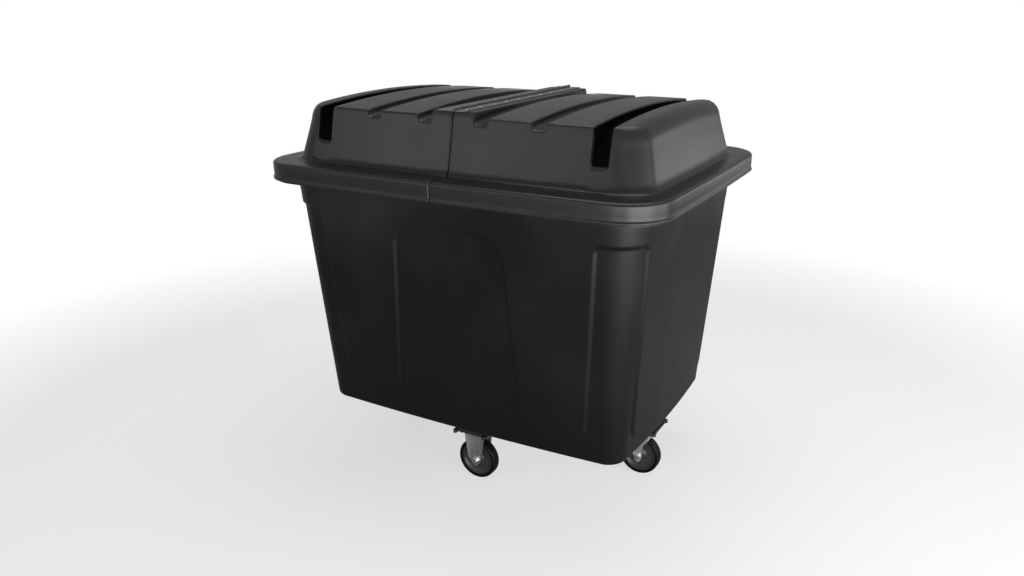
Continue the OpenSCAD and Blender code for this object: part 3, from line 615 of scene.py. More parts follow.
@dataclass
class Tub:
    """The moulded tub: tapered walls with raised panels, a turned-down rim and four feet. Sizes in mm."""

    floor_z: float = 186.0
    height: float = 699.0
    base_half: tuple[float, float] = (472.0, 326.0)
    top_half: tuple[float, float] = (521.0, 371.0)
    corner: float = 78.0
    base_corner: float = 46.0
    bow: tuple[float, float] = (6.0, 12.0)
    base_end_bow: float = 13.0
    foot_r: float = 12.0
    wall: float = 5.0
    rise: float = 6.0
    band_z: float = 770.0
    panel_z: float = 240.0
    side_margin: float = 105.0
    end_margin: float = 73.0
    panel_corner: float = 42.0
    panel_fillet: float = 14.0
    arch_half: tuple[float, float] = (200.0, 156.0)
    arch_top: float = 767.0
    arch_r: float = 490.0
    shoulder_r: float = 34.0
    step_w: float = 8.0
    rim_half: tuple[float, float] = (567.0, 417.0)
    rim_corner: float = 99.5
    rim_skirt: float = 48.0
    foot_plan: tuple[float, float] = (104.0, 80.0)
    foot_low: float = 158.0
    foot_flare: float = 4.0
    foot_corner: float = 10.0
    foot_corner_steps: int = 5
    foot_floor: float = 7.0
    foot_overlap: float = 3.0
    rigid_y: float = 238.0
    swivel_x: float = 414.0
    # Distances of the skin's columns from a panel's edge, and how many of them lie beyond the panel.
    edge_steps: tuple[float, ...] = (2.5, 5.0, 7.5, 10.5, 14.0, 18.0, 23.0, 28.0, 34.0, 40.0, 46.0)
    side_beyond: int = 6
    end_beyond: int = 5
    # Columns of the plain stretches: middle to arch, arch to panel, an end's panel to its middle.
    plain_columns: tuple[int, int, int] = (4, 3, 5)
    corner_columns: int = 14
    # First and last row by the panels' lower and upper edges, measured from the edge, and their spacing.
    low_rows: tuple[float, float, float] = (-12.0, 60.0, 3.5)
    high_rows: tuple[float, float, float] = (-70.0, 10.0, 3.0)
    plain_rows: int = 12
    foot_rows: int = 5
    upper_rows: tuple[float, ...] = (800.0, 830.0)
    rim_clear: float = 15.0
    # Share of the way out to the rim of each row of its underside, and its drop below that.
    rim_rows: tuple[tuple[float, float], ...] = (
        (0.015, 5.0), (0.06, 1.5), (0.14, 0.0), (0.5, 0.0), (0.9, 0.0), (0.96, 0.6), (0.99, 2.0), (1.0, 5.0),
        (1.0, 22.0),
    )
    floor_slack: float = 0.01
    merge: float = 1e-6
    smooth_angle: float = 40.0

    def half_at(self, z: float) -> tuple[float, float]:
        """Half length and half width of the walls at a height."""
        part = (z - self.floor_z) / self.height
        return tuple(b + (t - b) * part for b, t in zip(self.base_half, self.top_half, strict=True))

    def corner_at(self, z: float) -> float:
        """Radius of the upright corners at a height."""
        return self.base_corner + (self.corner - self.base_corner) * (z - self.floor_z) / self.height

    def bow_at(self, z: float) -> tuple[float, float]:
        """How far the ends and the sides bow out at a height."""
        part = (z - self.floor_z) / self.height
        return self.base_end_bow + (self.bow[0] - self.base_end_bow) * part, self.bow[1]

    def arch_at(self, z: float) -> float:
        """Half width of the arch at a height."""
        part = (z - self.floor_z) / (self.band_z - self.floor_z)
        return self.arch_half[0] + (self.arch_half[1] - self.arch_half[0]) * part

    def side_columns(self, z: float) -> np.ndarray:
        """Places along a long side, close together by the panels' edges."""
        near = np.array(self.edge_steps)
        to_arch, to_panel, _ = self.plain_columns
        arch = self.arch_at(z) + np.concatenate([-near[::-1], [0.0], near])
        outer = self.half_at(z)[0] - self.side_margin
        edge = outer + np.concatenate([-near[::-1], [0.0], near[:self.side_beyond]])
        middle = np.linspace(0.0, arch[0], to_arch + 1)[:-1]
        return np.concatenate([middle, arch, np.linspace(arch[-1], edge[0], to_panel + 1)[1:-1], edge])

    def end_columns(self, z: float) -> np.ndarray:
        """Places on an end, from its corner to its middle, close together by its panel's edge."""
        near = np.array(self.edge_steps)
        outer = self.half_at(z)[1] - self.end_margin
        edge = outer + np.concatenate([near[:self.end_beyond][::-1], [0.0], -near])
        return -np.concatenate([edge, np.linspace(edge[-1], 0.0, self.plain_columns[2] + 1)[1:]])

    def raised(self, xy: np.ndarray, z: float) -> np.ndarray:
        """How far a wall is raised at each point of a level, from 0 to 1.

        Args:
            xy: Points of the level.
            z: Its height.

        Returns:
            The share of the panels' rise at each point.
        """
        half_l, half_w = self.half_at(z)
        x, y = np.abs(xy[:, 0]), np.abs(xy[:, 1])
        high = np.full(len(x), z)
        band = high - self.band_z
        lift = high - self.panel_z
        arch_centre = self.arch_top - self.arch_r
        arch_over = self.arch_r - np.hypot(x, high - arch_centre)
        arch_over = np.where(high < arch_centre, self.arch_r, arch_over)
        arch = inside_both(self.arch_at(z) - x, arch_over, self.shoulder_r)
        panel = inside_both(half_l - self.side_margin - x, lift, self.panel_corner)
        side = inside_both(inside_either(band, panel, self.panel_fillet), -arch, self.panel_corner)
        side = np.where(y > half_w - self.corner - self.bow[1], side, band)
        panel = inside_both(half_w - self.end_margin - y, lift, self.panel_corner)
        end = inside_either(band, panel, self.panel_fillet)
        end = np.where(x > half_l - self.corner - self.base_end_bow, end, band)
        return np.maximum(ramp(side, self.step_w), ramp(end, self.step_w))

    def level(self, z: float, grow: float) -> np.ndarray:
        """A quarter of the wall's outline at a height, moved out by grow, at the skin's columns."""
        half_l, half_w = self.half_at(z)
        path = quarter(half_l + grow, half_w + grow, self.corner_at(z) + grow, *self.bow_at(z))
        return along(path, self.side_columns(z), self.end_columns(z), self.corner_columns)

    def foot_ring(self, turn: float) -> np.ndarray:
        """A quarter of the rounded edge below the wall, at a turn from the floor in radians."""
        xy = self.level(self.floor_z + self.foot_r, -self.foot_r * (1 - math.sin(turn)))
        return at_height(xy, self.floor_z + self.foot_r * (1 - math.cos(turn)))

    def wall_ring(self, z: float) -> np.ndarray:
        """A quarter of the wall at a height, with its raised panels."""
        flat, proud = self.level(z, 0.0), self.level(z, self.rise)
        return at_height(flat + (proud - flat) * self.raised(flat, z)[:, None], z)

    def rim_rings(self) -> list[np.ndarray]:
        """Quarters of the rim's underside, from the wall out and down its skirt."""
        top = self.floor_z + self.height
        half_l, half_w = (half - self.wall for half in self.rim_half)
        path = quarter(half_l, half_w, self.rim_corner - self.wall, *self.bow)
        rim = along(path, self.side_columns(top), self.end_columns(top), self.corner_columns)
        under = top - self.wall
        wall = self.level(under, self.rise)
        rows = (*self.rim_rows, (1.0, self.rim_skirt - self.wall))
        return [at_height(wall + (rim - wall) * out, under - drop) for out, drop in rows]

    def rings(self) -> list[np.ndarray]:
        """All quarters of the skin, from the floor's edge up the wall and over the rim's underside."""
        turns = np.radians(np.linspace(0.0, 90.0, self.foot_rows + 1)[:-1])
        first, last, step = self.low_rows
        low = np.arange(self.panel_z + first, self.panel_z + last, step)
        first, last, step = self.high_rows
        high = np.arange(self.band_z + first, self.band_z + last, step)
        between = np.linspace(low[-1], high[0], self.plain_rows + 1)[1:-1]
        upper = [*self.upper_rows, self.floor_z + self.height - self.rim_clear]
        heights = np.concatenate([[self.floor_z + self.foot_r], low, between, high, upper])
        walls = [self.wall_ring(float(z)) for z in heights]
        return [self.foot_ring(turn) for turn in turns] + walls + self.rim_rings()

    @staticmethod
    def all_round(ring: np.ndarray) -> np.ndarray:
        """Repeats a quarter round the four corners, closed on itself."""
        return np.concatenate([
            ring,
            (ring * np.array([1, -1, 1]))[::-1][1:],
            (ring * np.array([-1, -1, 1]))[1:],
            (ring * np.array([-1, 1, 1]))[::-1][1:],
        ])

    def foot(
        self, centre: tuple[float, float], turned: bool, shrink: float, low: float, high: float
    ) -> bpy.types.Object:
        """Models one foot's solid, or its hollow when drawn in.

        Args:
            centre: Its place in plan.
            turned: Whether its long side lies along Y.
            shrink: How far its sides are drawn in.
            low: Height of its underside.
            high: Height of its top.

        Returns:
            The foot.
        """
        plan = [side - 2 * shrink for side in (self.foot_plan[::-1] if turned else self.foot_plan)]
        flare = [(side + 2 * self.foot_flare) / side for side in plan]
        middle = (low + high) / 2
        deselect()
        bpy.ops.mesh.primitive_cube_add(size=1.0, location=metres(*centre, middle))
        piece = bpy.context.object
        piece.scale = metres(*plan, high - low)
        bpy.ops.object.transform_apply(location=True, rotation=True, scale=True)
        select_points(piece.data, lambda place: place.z > middle * MM)
        with editing():
            bpy.ops.transform.resize(value=(*flare, 1.0), center_override=metres(*centre, high))
        select_edges(piece.data, lambda one, other: abs(one.z - other.z) > (high - low) / 2 * MM)
        with editing():
            bpy.ops.mesh.select_mode(type="EDGE")
            bpy.ops.mesh.bevel(
                offset=self.foot_corner * MM, segments=self.foot_corner_steps, affect="EDGES"
            )
            bpy.ops.mesh.select_mode(type="VERT")
        return piece

    def feet(self, shrink: float, low: float, high: float) -> bpy.types.Object:
        """Models all four feet, or their hollows, as one piece."""
        places = (
            ((0.0, -self.rigid_y), False), ((0.0, self.rigid_y), False),
            ((-self.swivel_x, 0.0), True), ((self.swivel_x, 0.0), True),
        )
        return join([self.foot(place, turned, shrink, low, high) for place, turned in places], self.merge)

    def build(self) -> bpy.types.Object:
        """Models the tub.

        Returns:
            The finished piece.
        """
        rows = np.stack([self.all_round(ring) for ring in self.rings()])
        skin = join([lay_grid("tub_skin", rows)], self.merge)
        lowest = (self.floor_z + self.floor_slack) * MM
        select_points(skin.data, lambda place: place.z < lowest)
        with editing():
            bpy.ops.mesh.edge_face_add()
        thicken(skin, self.wall)
        solids = self.feet(0.0, self.foot_low, self.floor_z + self.foot_overlap)
        self.combine(skin, solids, "UNION")
        hollows = self.feet(self.wall, self.foot_low + self.foot_floor, self.floor_z + self.foot_r)
        self.combine(skin, hollows, "DIFFERENCE")
        smooth(skin, self.smooth_angle)
        return dress(skin, TUB_PLASTIC, "tub_body", "tub")

    @staticmethod
    def combine(piece: bpy.types.Object, other: bpy.types.Object, operation: str) -> None:
        """Joins another solid to a piece, or cuts it out, and removes it."""
        apply_modifier(piece, "BOOLEAN", operation=operation, solver="EXACT", object=other)
        bpy.data.objects.remove(other, do_unlink=True)


@dataclass
class LidHalf:
    """One half of the lid: brim, leaning dome walls and a crowned top with cross grooves. Sizes in mm."""

    side: Side
    split: float = 0.8
    split_round: float = 3.5
    split_steps: tuple[float, ...] = (0.0, 0.12, 0.35, 0.65, 1.0)
    lip_z: float = 841.8
    brim_z: float = 889.8
    half: tuple[float, float] = (577.5, 427.5)
    corner: float = 110.0
    bow: tuple[float, float] = (6.0, 12.0)
    draft: float = 2.0
    edge_r: float = 8.0
    edge_rows: int = 6
    # How far each row of the skirt's bead stands out, and its height over the lip.
    bead: tuple[tuple[float, float], ...] = (
        (-1.6, 0.0), (-0.5, 0.5), (0.0, 1.8), (0.0, 4.6), (-0.7, 6.0), (-2.3, 8.0), (-2.6, 10.0),
    )
    skirt_hollow: float = 0.3
    brim_shares: tuple[float, ...] = (0.35, 0.7, 1.0)
    dome_half: tuple[float, float] = (518.5, 344.5)
    dome_corner: float = 74.0
    dome_bow: tuple[float, float] = (3.0, 6.0)
    dome_h: float = 157.0
    dome_rows: int = 12
    end_lean: float = 12.0
    side_lean: float = 11.0
    end_round: float = 42.0
    round_rows: int = 12
    # How much higher the last rows run for each radian of their turn, so that they pass the crown.
    overshoot: float = 0.2
    fillet: float = 8.0
    # Height of each row of the fillet and how far it stands out, as shares of the radius.
    fillet_rows: tuple[tuple[float, float], ...] = ((0.06, 0.66), (0.25, 0.3), (0.56, 0.07), (1.0, 0.0))
    crown_h: float = 15.0
    wall: float = 4.5
    wall_rows: int = 14
    plateau_z: float = 1044.0
    groove_x: tuple[float, ...] = (81.0, 240.0)
    groove_w: float = 43.0
    groove_d: float = 18.0
    mouth_x: float = 399.0
    mouth_w: float = 47.0
    mouth_d: float = 93.0
    mouth_step: float = 4.0
    mouth_ramp: float = 105.0
    mouth_power: float = 1.4
    # Where the painted shade in the mouths stops: below the crown, behind the wall, under the floor, past the
    # sides.
    painted_shade_edges: tuple[float, float, float, float] = (5.0, 3.0, 10.0, 0.5)
    plain_columns: tuple[float, ...] = (20.0, 40.0, 130.0, 160.0, 190.0, 290.0, 320.0, 350.0)
    side_limit: float = 428.0
    end_limit: float = 225.0
    end_steps: int = 15
    corner_steps: int = 15
    soften: float = 5.0
    soften_most: float = 0.3
    soften_steps: tuple[float, ...] = (0.25, 0.5, 0.75, 1.0)
    corner_power: int = 8
    # Each column's distance outside a groove's edge, and its depth below the top or height over the floor.
    groove_lip: tuple[tuple[float, float], ...] = (
        (4.0, 0.0), (2.2, 0.25), (1.0, 1.0), (0.3, 2.4), (0.0, 4.5),
    )
    groove_foot: tuple[tuple[float, float], ...] = (
        (-0.4, 10.0), (-1.4, 6.0), (-3.4, 3.0), (-6.5, 1.0), (-10.0, 0.0),
    )
    merge: float = 2e-5
    trim_clear: float = 0.02
    smooth_angle: float = 45.0
    mid_z: float = field(init=False)
    top_half_w: float = field(init=False)
    crown_r: float = field(init=False)

    def __post_init__(self) -> None:
        """Works out the crown."""
        self.mid_z = self.brim_z + self.dome_h
        self.top_half_w = self.dome_half[1] - self.dome_h * math.tan(math.radians(self.side_lean))
        self.crown_r = (self.top_half_w ** 2 + self.crown_h ** 2) / (2 * self.crown_h)

    def crown(self, y: np.ndarray) -> np.ndarray:
        """Height of the crown over a distance from the lid's middle."""
        return self.mid_z - self.crown_r + np.sqrt(self.crown_r ** 2 - np.square(y))

    def cut(self, offset: np.ndarray, depth: np.ndarray) -> np.ndarray:
        """Depth of a groove's section.

        Args:
            offset: Distance outside the groove's nominal edge, negative inside.
            depth: Full depth of the groove there.

        Returns:
            How far the groove sinks the surface.
        """
        lip = np.array(self.groove_lip)
        foot = np.array(self.groove_foot)
        upper = np.interp(-offset, -lip[:, 0], lip[:, 1], left=0.0)
        lower = np.interp(-offset, -foot[:, 0], -foot[:, 1])
        span = np.clip(offset / foot[0, 0], 0.0, 1.0)
        return np.where(offset >= 0, np.minimum(upper, depth), upper + (depth + lower - upper) * span)

    def top(self, x: np.ndarray, y: np.ndarray) -> np.ndarray:
        """Height of the lid's top at each point, grooves included.

        Args:
            x: Distances from the split.
            y: Distances from the lid's middle.

        Returns:
            The heights.
        """
        crown = self.crown(y)
        reach = self.groove_lip[0][0]
        z = np.where(x < self.groove_x[0], self.plateau_z, crown)
        for place in self.groove_x:
            offset = np.abs(x - place) - self.groove_w / 2
            floor = crown - self.groove_d
            z = np.where(offset < reach, z - self.cut(offset, z - floor), z)
        run = np.maximum(0.0, np.abs(y) - (self.top_half_w - self.mouth_ramp)) / self.mouth_ramp
        shallow = self.groove_d + self.mouth_step
        depth = shallow + (self.mouth_d - self.crown_h - shallow) * run ** self.mouth_power
        offset = np.abs(x - self.mouth_x) - self.mouth_w / 2
        return np.where(offset < reach, z - self.cut(offset, depth), z)

    def split_fall(self, x: np.ndarray) -> np.ndarray:
        """How far the skin falls away where it rounds over into the split."""
        left = np.clip(self.split + self.split_round - x, 0.0, self.split_round)
        return self.split_round - np.sqrt(self.split_round ** 2 - np.square(left))

    def side_columns(self) -> np.ndarray:
        """Places along the front, close together by the grooves' edges."""
        steps = [step for step, _ in self.groove_lip + self.groove_foot]
        places = [self.split + self.split_round * share for share in self.split_steps]
        for middle, width in [(x, self.groove_w) for x in self.groove_x] + [(self.mouth_x, self.mouth_w)]:
            places += [middle + sign * (width / 2 + step) for step in steps for sign in (-1, 1)] + [middle]
        places += [*self.plain_columns, self.side_limit]
        kept = sorted(set(round(place, 3) for place in places))
        return np.array([place for place in kept if place <= self.side_limit])

    def end_columns(self) -> np.ndarray:
        """Places on the end, from its corner to its middle."""
        return -np.linspace(self.end_limit, 0.0, self.end_steps + 1)

    def ring(self, half_l: float, half_w: float, corner: float, bow: tuple[float, float]) -> np.ndarray:
        """Front half of a level's outline at the skin's columns, from the split to the end's middle."""
        path = quarter(half_l, half_w, corner, *bow)
        return along(path, self.side_columns(), self.end_columns(), self.corner_steps)

    def brim_rings(self) -> list[np.ndarray]:
        """The brim's rows: skirt, rounded edge, and flat in to the dome's fillet."""
        skirt_middle = (self.lip_z + self.brim_z - self.edge_r) / 2
        rows = [(grow, self.lip_z + rise) for grow, rise in self.bead]
        rows.append((-self.draft - self.skirt_hollow, skirt_middle))
        for turn in np.radians(np.linspace(0.0, 90.0, self.edge_rows + 1)):
            inward, down = self.edge_r * (1 - math.cos(turn)), self.edge_r * (1 - math.sin(turn))
            rows.append((-self.draft - inward, self.brim_z - down))
        made = [
            at_height(self.ring(self.half[0] + grow, self.half[1] + grow, self.corner + grow, self.bow), z)
            for grow, z in rows
        ]
        outer = made[-1][:, :2]
        foot_l, foot_w, corner = (size + self.fillet for size in (*self.dome_half, self.dome_corner))
        foot = self.ring(foot_l, foot_w, corner, self.dome_bow)
        return made + [at_height(outer + (foot - outer) * share, self.brim_z) for share in self.brim_shares]

    def dome_path(self) -> np.ndarray:
        """The dome's wall above the fillet, row by row, past the crown. Shape: rows, columns, 3."""
        end_slope = math.tan(math.radians(self.end_lean))
        side_slope = math.tan(math.radians(self.side_lean))
        rise = self.dome_h - self.end_round
        made = []

        def add(half_l: float, half_w: float, corner: float, z: float, crowned: float) -> None:
            """Adds one row; crowned is how much of the crown's fall it follows."""
            xy = self.ring(half_l, half_w, corner, self.dome_bow)
            drop = self.crown_h * np.square(xy[:, 1] / self.top_half_w) * crowned
            made.append(np.column_stack([xy, z - drop]))

        def add_wall(h: float, grow: float, crowned: float) -> None:
            """Adds one row of the leaning wall at a height over the brim, moved out by grow."""
            half_l = self.dome_half[0] - h * end_slope + grow
            half_w = self.dome_half[1] - h * side_slope + grow
            add(half_l, half_w, self.dome_corner + grow, self.brim_z + h, crowned)

        for share, out in self.fillet_rows:
            add_wall(self.fillet * share, self.fillet * out, 0.0)
        for share in np.linspace(0.0, 1.0, self.dome_rows + 1)[1:]:
            add_wall(self.fillet + (rise - self.fillet) * share, 0.0, share)
        for turn in np.radians(np.linspace(0.0, 90.0, self.round_rows + 1)[1:]):
            back = self.end_round * (1 - math.cos(turn))
            h = rise + self.end_round * math.sin(turn)
            half_l = self.dome_half[0] - rise * end_slope - back
            half_w = self.dome_half[1] - h * side_slope
            add(half_l, half_w, self.dome_corner - back / 2, self.brim_z + h + self.overshoot * turn, 1.0)
        return np.stack(made)

    def trimmed(self, path: np.ndarray) -> np.ndarray:
        """Cuts one column's wall where it meets the lid's top and eases its edge.

        Args:
            path: The column's points, from the fillet up past the crown.

        Returns:
            Points of the column, up to where the top begins.
        """
        over = path[:, 2] - self.top(path[:, 0], path[:, 1])
        above = np.nonzero(over >= 0)[0]
        last = int(above[0]) if len(above) else len(path) - 1
        low, high = path[last - 1], path[last]
        share = over[last - 1] / (over[last - 1] - over[last]) if len(above) else 1.0
        edge = low + (high - low) * np.clip(share, 0.0, 1.0)
        kept = np.vstack([path[:last], edge])
        run = np.concatenate([[0.0], np.cumsum(np.linalg.norm(np.diff(kept, axis=0), axis=1))])
        ease = min(self.soften, run[-1] * self.soften_most)
        places = np.linspace(0.0, run[-1] - ease, self.wall_rows)
        wall = np.column_stack([np.interp(places, run, kept[:, axis]) for axis in range(3)])
        x, y = edge[:2] - self.facing(edge) * ease
        inner = np.array([x, y, self.top(x, y)])
        bend = [
            (1 - t) ** 2 * wall[-1] + 2 * t * (1 - t) * edge + t * t * inner for t in self.soften_steps
        ]
        return np.vstack([wall, bend])

    def facing(self, point: np.ndarray) -> np.ndarray:
        """Direction, in plan, that the dome's wall faces at a point of the skin's front half."""
        if point[0] <= self.mouth_x + self.mouth_w / 2 + self.groove_lip[0][0]:
            return np.array([0.0, -1.0])
        if point[1] >= -self.end_limit:
            return np.array([1.0, 0.0])
        share = (point[1] + self.top_half_w) / (self.top_half_w - self.end_limit)
        turn = np.clip(share, 0.0, 1.0) * math.pi / 2
        return np.array([math.sin(turn), -math.cos(turn)])

    def walls(self) -> np.ndarray:
        """The brim and the dome's walls, from the front of the split round to its back. Rows, columns, 3."""
        dome = self.dome_path()
        columns = [self.trimmed(dome[:, column]) for column in range(dome.shape[1])]
        half = np.concatenate([np.stack(self.brim_rings()), np.stack(columns, axis=1)])
        run = np.gradient(half, axis=0)
        out = np.stack([np.zeros(half.shape[:2]), -run[..., 2], run[..., 1]], axis=-1)
        out /= np.maximum(np.linalg.norm(out, axis=-1, keepdims=True), SHORTEST)
        half = half - out * self.split_fall(half[..., 0])[..., None]
        return np.concatenate([half, (half * np.array([1, -1, 1]))[:, ::-1][:, 1:]], axis=1)

    def cap(self, edge: np.ndarray) -> np.ndarray:
        """The lid's top inside the walls' last row.

        Args:
            edge: The walls' last row, from the front of the split round to its back.

        Returns:
            Points of the top: rows across the lid, columns along it.
        """
        straight = len(self.side_columns())
        turn = (self.corner_steps + 1) // 2
        count = straight + turn
        front, back = edge[:count], edge[::-1][:count]
        end = edge[count - 1:len(edge) - count + 1]
        limit = straight - 1
        reach = np.linspace(0.0, 1.0, turn + 1)[1:, None]
        rows = []
        for j, across in enumerate(np.interp(end[:, 1], [end[0, 1], end[-1, 1]], [-1.0, 1.0])):
            row = np.zeros((count, 3))
            row[:straight, 0] = front[:straight, 0]
            row[:straight, 1] = front[:straight, 1] * -across
            start = row[limit, :2]
            row[straight:, :2] = start + (end[j, :2] - start) * reach
            for base, side in ((front, -across), (back, across)):
                chord = base[limit, :2] + (base[-1, :2] - base[limit, :2]) * reach
                row[straight:, :2] += (base[straight:, :2] - chord) * max(0.0, side) ** self.corner_power
            row[:, 2] = self.top(row[:, 0], row[:, 1]) - self.split_fall(row[:, 0])
            rows.append(row)
        rows = np.stack(rows)
        rows[0], rows[-1] = front, back
        rows[:, -1] = end
        return rows

    def build(self) -> bpy.types.Object:
        """Models the half lid.

        Returns:
            The finished piece.
        """
        walls = self.walls()
        cap = self.cap(walls[-1])
        if self.side is Side.LEFT:
            flip = np.array([-1, 1, 1])
            walls, cap = (walls * flip)[:, ::-1], (cap * flip)[:, ::-1]
        word = self.side.name.lower()
        skin = join([lay_grid(f"lid_{word}_skin", walls), lay_grid("cap", cap)], self.merge)
        thicken(skin, self.wall)
        self.trim(skin)
        smooth(skin, self.smooth_angle)
        dress(skin, LID_PLASTIC, f"lid_{word}_body", f"lid_{word}")
        # Paints shade into the deep mouths.
        self.paint_shade_in_mouths(skin)
        return skin

    def trim(self, skin: bpy.types.Object) -> None:
        """Keeps the inner corners on their side of the split and inside the brim's outline."""
        limit = (self.half[1] - self.trim_clear) * MM
        sign = self.side.value
        for point in skin.data.vertices:
            point.co.x = sign * max(sign * point.co.x, self.split * MM)
            point.co.y = max(-limit, min(limit, point.co.y))

    def paint_shade_in_mouths(self, skin: bpy.types.Object) -> None:
        """Paints shade into the grooves that end in the deep mouths with a darker, duller plastic, up to the
        rounded lips.
        """
        skin.data.materials.append(MOUTH_SHADE_PLASTIC.material())
        lean = math.tan(math.radians(self.side_lean))
        below, behind, under, past = self.painted_shade_edges
        most_outward, least_upward = 0.5, -0.1
        for face in skin.data.polygons:
            x, y, z = (abs(c) / MM for c in face.center)
            offset = x - self.mouth_x
            front = self.dome_half[1] - self.dome_bow[1] - (z - self.brim_z) * lean
            floor = self.mid_z - self.mouth_d
            deep = z < self.crown(y) - below and y < front - behind and z > floor - under
            outward = offset * math.copysign(face.normal.x, face.normal.x * face.center.x)
            inward = outward < most_outward and face.normal.z > least_upward
            if deep and inward and abs(offset) < self.mouth_w / 2 + past:
                face.material_index = 1


def paint(name: str, finish: Finish) -> None:
    """Gives a CAD node its finish."""
    node = frame["nodes"][name]
    node.data.materials.clear()
    node.data.materials.append(finish.material())
    log.info("%s: %s", name, finish.name)


CAD_MERGE = 2e-6
FLAT_ANGLE = 0.4
SHARP_ANGLE = 30.0
SOFT_ANGLE = 35.0
EDGE_SEGMENTS = 2


def soften(name: str, edge: float, finish: Finish) -> bpy.types.Object:
    """Models a CAD node again with its sharp edges broken.

    Args:
        name: The node.
        edge: Width of the broken edges, in mm.
        finish: Its finish.

    Returns:
        The new piece.
    """
    node = frame["nodes"][name]
    body = node.parent.name.removeprefix("body:")
    paint(name, finish)
    mesh = node.data.copy()
    piece = bpy.data.objects.new(f"{name}_soft", mesh)
    mesh.name = piece.name
    bpy.context.scene.collection.objects.link(piece)
    make_active(piece)
    with editing():
        merge_points(CAD_MERGE)
        bpy.ops.mesh.dissolve_limited(angle_limit=math.radians(FLAT_ANGLE))
    if mesh.has_custom_normals:
        bpy.ops.mesh.customdata_custom_splitnormals_clear()
    apply_modifier(
        piece, "BEVEL",
        width=edge * MM, segments=EDGE_SEGMENTS, limit_method="ANGLE",
        angle_limit=math.radians(SHARP_ANGLE), use_clamp_overlap=True,
    )
    smooth(piece, SOFT_ANGLE)
    return dress(piece, finish, body, name)


class Place(Enum):
    """Where a caster stands, and whether it swivels."""

    FRONT = ("front", False)
    BACK = ("back", False)
    LEFT = ("left", True)
    RIGHT = ("right", True)


@dataclass
class Caster:
    """One caster with its pad and its fasteners. Widths of broken edges in mm."""

    place: Place
    steel_edge: float = 0.8
    pad_edge: float = 1.4
    wheel_edge: float = 1.0
    bolt_edge: float = 0.5

    def dress(self) -> None:
        """Breaks the edges of the pieces in sight and gives all of them their finishes."""
        word, swivels = self.place.value
        soften(f"caster_pad_{word}", self.pad_edge, PAD_PLASTIC)
        soften(f"wheel_{word}", self.wheel_edge, WHEEL_PLASTIC)
        for name in ("axle_bolt", "axle_nut", "caster_bolts"):
            soften(f"{name}_{word}", self.bolt_edge, BOLTS)
        # The swivel plates and forks take the paler zinc, a painted highlight.
        forks = ("swivel_plate", "swivel_fork") if swivels else ("rigid_fork",)
        for name in forks:
            soften(f"{name}_{word}", self.steel_edge, ZINC_PAINTED_HIGHLIGHT if swivels else ZINC)
        paint(f"caster_nuts_{word}", BOLTS)
        paint(f"tyre_{word}", TREAD)
        paint(f"bush_{word}", BRASS)
        if swivels:
            paint(f"swivel_balls_{word}", BRIGHT)
            paint(f"king_pin_{word}", BRIGHT)


@dataclass
class Hinge:
    """The continuous hinge along the lid's split, with the finishes of its leaves, rivets and pin."""

    leaf: Finish = STRIP
    rivet: Finish = RIVETS
    pin: Finish = BRIGHT

    def dress(self) -> None:
        """Gives all pieces their finishes."""
        for side in Side:
            word = side.name.lower()
            paint(f"hinge_leaf_{word}", self.leaf)
            paint(f"hinge_rivets_{word}", self.rivet)
        paint("hinge_pin", self.pin)


def hang(name: str, data: bpy.types.ID, place: tuple[float, float, float], aim: Vector) -> bpy.types.Object:
    """Puts a camera or a lamp in the scene.

    Args:
        name: Its name.
        data: The camera or the lamp.
        place: Where it hangs.
        aim: The direction that it faces.

    Returns:
        The new object.
    """
    made = bpy.data.objects.new(name, data)
    bpy.context.scene.collection.objects.link(made)
    made.location = place
    made.rotation_mode = "QUATERNION"
    made.rotation_quaternion = aim.to_track_quat("-Z", "Y")
    return made


@dataclass(frozen=True)
class SoftBox:
    """A lamp: where it hangs, the point that it faces, its width and height in metres, its power in watts."""

    name: str
    place: tuple[float, float, float]
    aim: tuple[float, float, float]
    size: tuple[float, float]
    power: float

    def light(self) -> None:
        """Hangs the lamp."""
        data = bpy.data.lights.new(self.name, "AREA")
        data.shape = "RECTANGLE"
        data.size, data.size_y = self.size
        data.energy = self.power
        hang(self.name, data, self.place, Vector(self.aim) - Vector(self.place))


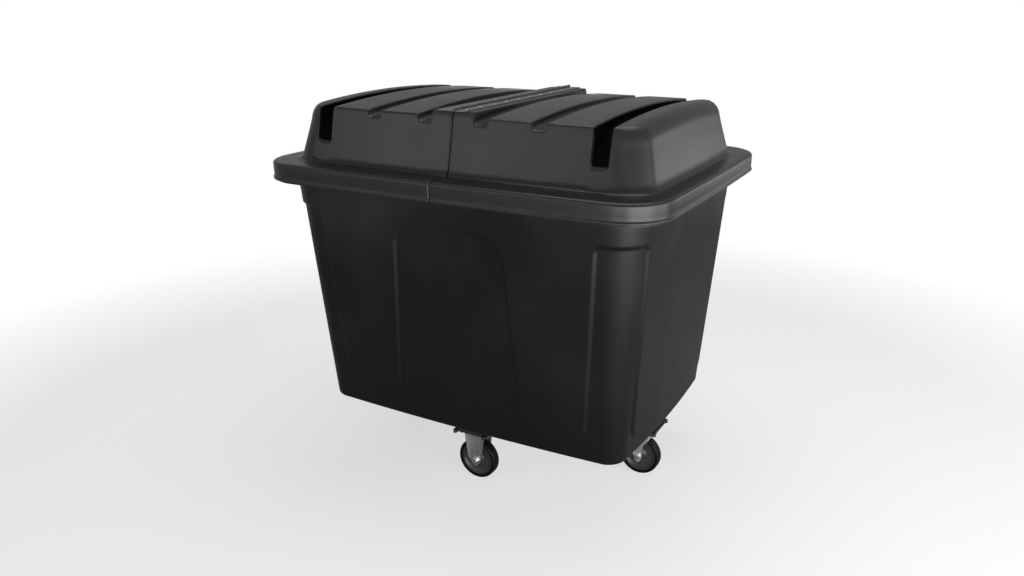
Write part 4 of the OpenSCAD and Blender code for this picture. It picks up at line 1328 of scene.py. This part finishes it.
@dataclass
class Studio:
    """Floor, soft light and the camera at the photograph's place."""

    lens_px: float = 856.28
    yaw: float = 28.12
    pitch: float = 18.80
    eye: tuple[float, float, float] = (1.18737, -2.05284, 1.31297)
    centre_px: tuple[float, float] = (546.40, 285.01)
    sensor: float = 36.0
    clip: tuple[float, float] = (0.01, 200.0)
    floor_size: float = 6.0
    floor_plain: float = 1.6
    floor_fade: float = 0.9
    floor_glow: float = 0.58
    floor_grey: float = 0.4
    floor_pale: float = 0.95
    world_level: float = 0.06
    mirror_level: float = 0.36
    boxes: tuple[SoftBox, ...] = (
        SoftBox("over", (0.0, 0.5, 3.4), (0.0, 0.0, 0.8), (2.4, 2.0), 40.0),
        SoftBox("end", (3.2, 0.3, 0.75), (0.5, 0.0, 0.65), (2.2, 1.2), 38.0),
        SoftBox("behind", (1.9, 2.4, 0.75), (0.5, 0.0, 0.95), (1.2, 0.7), 4.5),
        SoftBox("corner", (2.2, -1.6, 0.6), (0.45, -0.35, 0.65), (2.4, 1.0), 60.0),
        SoftBox("back", (-2.0, 2.4, 0.55), (-0.1, 0.2, 0.6), (2.2, 0.9), 30.0),
        SoftBox("front", (-2.1, -3.6, 1.8), (0.0, 0.0, 0.85), (2.2, 1.4), 20.0),
        SoftBox("low", (0.6, -3.4, 0.5), (0.1, -0.3, 0.5), (1.6, 0.8), 22.0),
    )

    def camera(self) -> None:
        """Places the camera and makes it the scene's."""
        data = bpy.data.cameras.new("photograph")
        data.sensor_width = self.sensor
        data.lens = self.lens_px / IMAGE_W * self.sensor
        data.shift_x = 0.5 - self.centre_px[0] / IMAGE_W
        data.shift_y = (self.centre_px[1] - IMAGE_H / 2) / IMAGE_W
        data.clip_start, data.clip_end = self.clip
        yaw, pitch = math.radians(self.yaw), math.radians(self.pitch)
        back = Vector((math.sin(yaw) * math.cos(pitch), -math.cos(yaw) * math.cos(pitch), math.sin(pitch)))
        bpy.context.scene.camera = hang("photograph", data, self.eye, -back)

    def backdrop(self) -> None:
        """Lays the pale floor, which fades to white away from the object."""
        deselect()
        bpy.ops.mesh.primitive_plane_add(size=self.floor_size, location=(0.0, 0.0, 0.0))
        floor = bpy.context.object
        floor.name = "studio_floor"
        material = bpy.data.materials.new("studio_floor")
        material.use_nodes = True
        graph = Graph(material.node_tree)
        camera = graph.value(graph.node("ShaderNodeLightPath"), "Is Camera Ray")
        far = graph.node("ShaderNodeVectorMath", {"operation": "LENGTH"}, {0: graph.object_coords()})
        edge = ((graph.value(far, "Value") - self.floor_plain) / self.floor_fade).clamped()
        seen = camera * (edge * (1.0 - self.floor_glow) + self.floor_glow)
        grey, pale = (
            graph.node("ShaderNodeBsdfDiffuse", None, {"Color": (tone, tone, tone, 1.0)})
            for tone in (self.floor_grey, self.floor_pale)
        )
        glow = graph.node("ShaderNodeEmission", None, {"Color": WHITE, "Strength": 1.0})
        both = graph.blend(seen, graph.blend(camera, grey, pale), glow)
        graph.node("ShaderNodeOutputMaterial", None, {"Surface": both.outputs[0]})
        floor.data.materials.append(material)

    def world(self) -> None:
        """Fills the room with dim light, paler where it is mirrored and white where it is seen."""
        room = bpy.data.worlds.new("studio")
        room.use_nodes = True
        graph = Graph(room.node_tree)
        rays = graph.node("ShaderNodeLightPath")
        seen = graph.value(rays, "Is Camera Ray").at_least(graph.value(rays, "Is Transmission Ray"))
        dim, mirrored, white = (
            graph.node("ShaderNodeBackground", None, {"Color": WHITE, "Strength": level})
            for level in (self.world_level, self.mirror_level, 1.0)
        )
        light = graph.blend(seen, graph.blend(graph.value(rays, "Is Glossy Ray"), dim, mirrored), white)
        graph.node("ShaderNodeOutputWorld", None, {"Surface": light.outputs[0]})
        bpy.context.scene.world = room

    def build(self) -> None:
        """Sets up everything round the object."""
        self.camera()
        self.backdrop()
        self.world()
        for box in self.boxes:
            box.light()
        bpy.context.scene.view_settings.view_transform = "Standard"


def main() -> None:
    """Builds the pieces in order and reports each."""
    Studio().build()
    Tub().build()
    for side in Side:
        LidHalf(side).build()
    Hinge().dress()
    for place in Place:
        Caster(place).dress()
    deselect()


if __name__ == "__main__":
    main()
